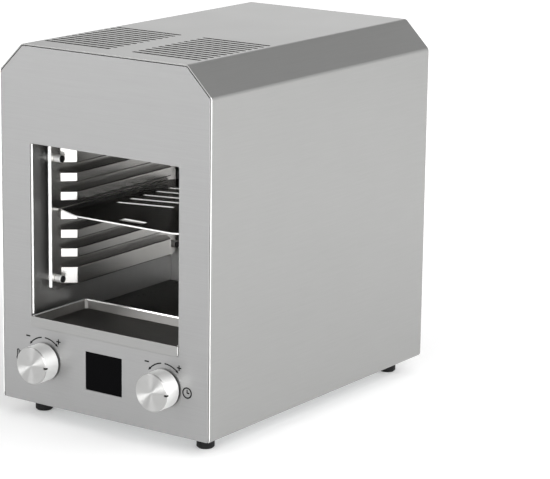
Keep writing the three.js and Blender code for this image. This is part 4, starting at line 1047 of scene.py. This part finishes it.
def arrow_head(x, z, angle):
    """A small filled triangle that points along an angle."""
    shape, size = bmesh.new(), 3.6
    corners = [(size * 0.6, 0), (-size * 0.4, size * 0.45), (-size * 0.4, -size * 0.45)]
    shape.faces.new([shape.verts.new((a, INK_Y[0], b)) for a, b in corners])
    pushed(shape, INK_Y[1] - INK_Y[0])
    swing(shape, -angle, "Y")
    move_by(shape, (x, 0, z))
    return shape


def knob_marks(name, x):
    """Minus, plus and two turning arrows above a knob."""
    radius, width, middle = 25.3, 1.35, math.radians(94.3)
    from_middle, to_end, to_tip = math.radians(4.8), math.radians(42), math.radians(2)
    minus_x, plus_x, sign_z, sign, minus_width = x - 22.3, x + 18.4, 88.7, 5.6, 1.5
    marks = [stroke(minus_x, sign_z, sign, minus_width),
             stroke(plus_x, sign_z, sign, width), stroke(plus_x, sign_z, width, sign)]
    for side in SIDES.values():
        start, stop = middle - side * from_middle, middle - side * to_end
        marks.append(arc(x, CONTROL_HEIGHT, radius, start, stop, width))
        tip = stop - side * to_tip
        at = (x + radius * math.cos(tip), CONTROL_HEIGHT + radius * math.sin(tip))
        marks.append(arrow_head(*at, tip - side * math.pi / 2))
    ink(joined(*marks), f"{name}_knob_marks")


def thermometer_mark():
    """A thermometer's outline: a tube with a bulb, and three ticks beside it."""
    x, low, high, half_tube, width = -114.2, 62.8, 70.6, 1.1, 1.2
    tube = ((low + high) / 2 + 0.8, high - low - 1.6, width, math.pi / 2)
    marks = [arc(x, low, 1.9, math.radians(125), math.radians(415), 1.3)]
    marks += [stroke(x + side * half_tube, *tube) for side in SIDES.values()]
    marks += [arc(x, high, half_tube, 0, math.pi, width), arc(x, low, 0.5, 0, math.tau, 0.9)]
    marks += [stroke(x + 3.0, low + step, 1.9, width) for step in (3.2, 5.2, 7.2)]
    ink(joined(*marks), "thermometer_mark")


def clock_mark():
    """A clock's outline with two hands."""
    x, z = 106.5, 64.6
    marks = [arc(x, z, 5.2, 0, math.tau, 1.5, 32), stroke(x, z + 1.7, 3.8, 1.4, math.pi / 2),
             stroke(x + 1.2, z, 3.2, 1.4)]
    ink(joined(*marks), "clock_mark")


for name, x in KNOB_PLACES.items():
    control_knob(name, x)
    knob_marks(name, x)
display_pane()
thermometer_mark()
clock_mark()


# ---- Pieces that keep their solids


def carry(finish, *nodes):
    """A solid whose shape is right keeps it, with a better finish and smooth rounds."""
    for node in nodes:
        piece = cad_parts[node]
        piece.data.materials.clear()
        piece.data.materials.append(finishes[finish])
        weld = piece.modifiers.new("weld", "WELD")
        weld.merge_threshold = 0.01 * MM
        soften(piece, 0.15)


carry("liner", "liner_back")
carry("wall", "liner_left", "liner_right")
# The cavity's floor and ceiling and the heater's reflector are painted shade
carry("painted_shade", "liner_floor", "liner_ceiling", "heater_reflector")
carry("wool", "side_insulation_left", "side_insulation_right", "back_insulation",
      "ceiling_insulation")
carry("element", "heater_element")
carry("ceramic", "heater_holder_front", "heater_holder_rear", "terminal_block")
carry("zinc", "base_plate", "thermal_cutout",
      *[f"{side}_{node}" for side in SIDES for node in ("shaft", "encoder", "encoder_nut")],
      *[f"foot_screw_{end}_{side}" for end in FOOT_DEPTHS for side in SIDES])
carry("plastic", "display_module", *[f"{side}_rotor" for side in SIDES])
carry("board", "control_board", "power_board")
carry("sleeve", "heater_lead_left", "heater_lead_right")


# ---- Studio


def studio_floor():
    """A wide sheet of white paper under the feet."""
    shape = bmesh.new()
    bmesh.ops.create_grid(shape, x_segments=1, y_segments=1, size=12)
    mesh = bpy.data.meshes.new("studio_floor")
    shape.to_mesh(mesh)
    shape.free()
    floor = bpy.data.objects.new("studio_floor", mesh)
    mesh.materials.append(floor_paper("white_studio_paper"))
    bpy.context.scene.collection.objects.link(floor)


def softbox(name, place, size, irradiance):
    """A square lamp that gives a surface in the object's middle, square to it, a set share of full
    light."""
    target = (0, 0, 0.2)
    lamp = bpy.data.lights.new(name, "AREA")
    lamp.shape = "SQUARE"
    lamp.size = size
    way = Vector(target) - Vector(place)
    lamp.energy = irradiance * (math.pi * way.length) ** 2
    holder = bpy.data.objects.new(name, lamp)
    holder.location = place
    holder.rotation_euler = way.to_track_quat("-Z", "Y").to_euler()
    bpy.context.scene.collection.objects.link(holder)


def studio_room():
    """Pale walls all round at eye level, and a dimmer ceiling."""
    wall_level, ceiling_level = 1.0, 0.36
    wall_end, ceiling_start = math.radians(17), math.radians(34)
    world = bpy.data.worlds.new("studio_room")
    bpy.context.scene.world = world
    world.use_nodes = True
    tree = world.node_tree
    tree.nodes.clear()
    way = add(tree, "ShaderNodeTexCoord").outputs["Generated"]
    height = add(tree, "ShaderNodeSeparateXYZ", {"Vector": way}).outputs["Z"]
    level = add(tree, "ShaderNodeMapRange", {
        "Value": height, "From Min": math.sin(wall_end), "From Max": math.sin(ceiling_start),
        "To Min": wall_level, "To Max": ceiling_level},
        interpolation_type="SMOOTHSTEP").outputs["Result"]
    sky = add(tree, "ShaderNodeBackground", {"Color": hex_colour("#ffffff"), "Strength": level})
    add(tree, "ShaderNodeOutputWorld", {"Surface": sky.outputs[0]})


def camera():
    """The photograph's viewpoint: from the front right and a little above."""
    picture_width, focal = 550, 2447.25
    azimuth, elevation, roll = math.radians(34.773), math.radians(90 - 13.455), math.radians(0.780)
    data = bpy.data.cameras.new("camera")
    data.sensor_width = 36
    data.lens = focal * data.sensor_width / picture_width
    data.clip_start, data.clip_end = 0.05, 60
    holder = bpy.data.objects.new("camera", data)
    turn = Matrix.Rotation(azimuth, 4, "Z") @ Matrix.Rotation(elevation, 4, "X")
    place = Vector((1508.4, -1869.2 + FRONT_FACE, 781.8)) * MM
    holder.matrix_world = Matrix.Translation(place) @ turn @ Matrix.Rotation(roll, 4, "Z")
    bpy.context.scene.collection.objects.link(holder)
    bpy.context.scene.camera = holder


studio_floor()
studio_room()
softbox("softbox_over", (0.1, 0.5, 2.4), 1.8, 0.2)
softbox("softbox_left", (-1.6, -1.9, 1.3), 1.2, 0.15)
softbox("softbox_front", (0.55, -2.75, 0.5), 1.1, 0.4)
softbox("softbox_right", (2.4, -0.35, 1.3), 3.0, 1.0)
softbox("softbox_rear", (-1.4, 2.2, 0.75), 1.0, 0.02)
camera()
bpy.context.scene.view_settings.view_transform = "Standard"
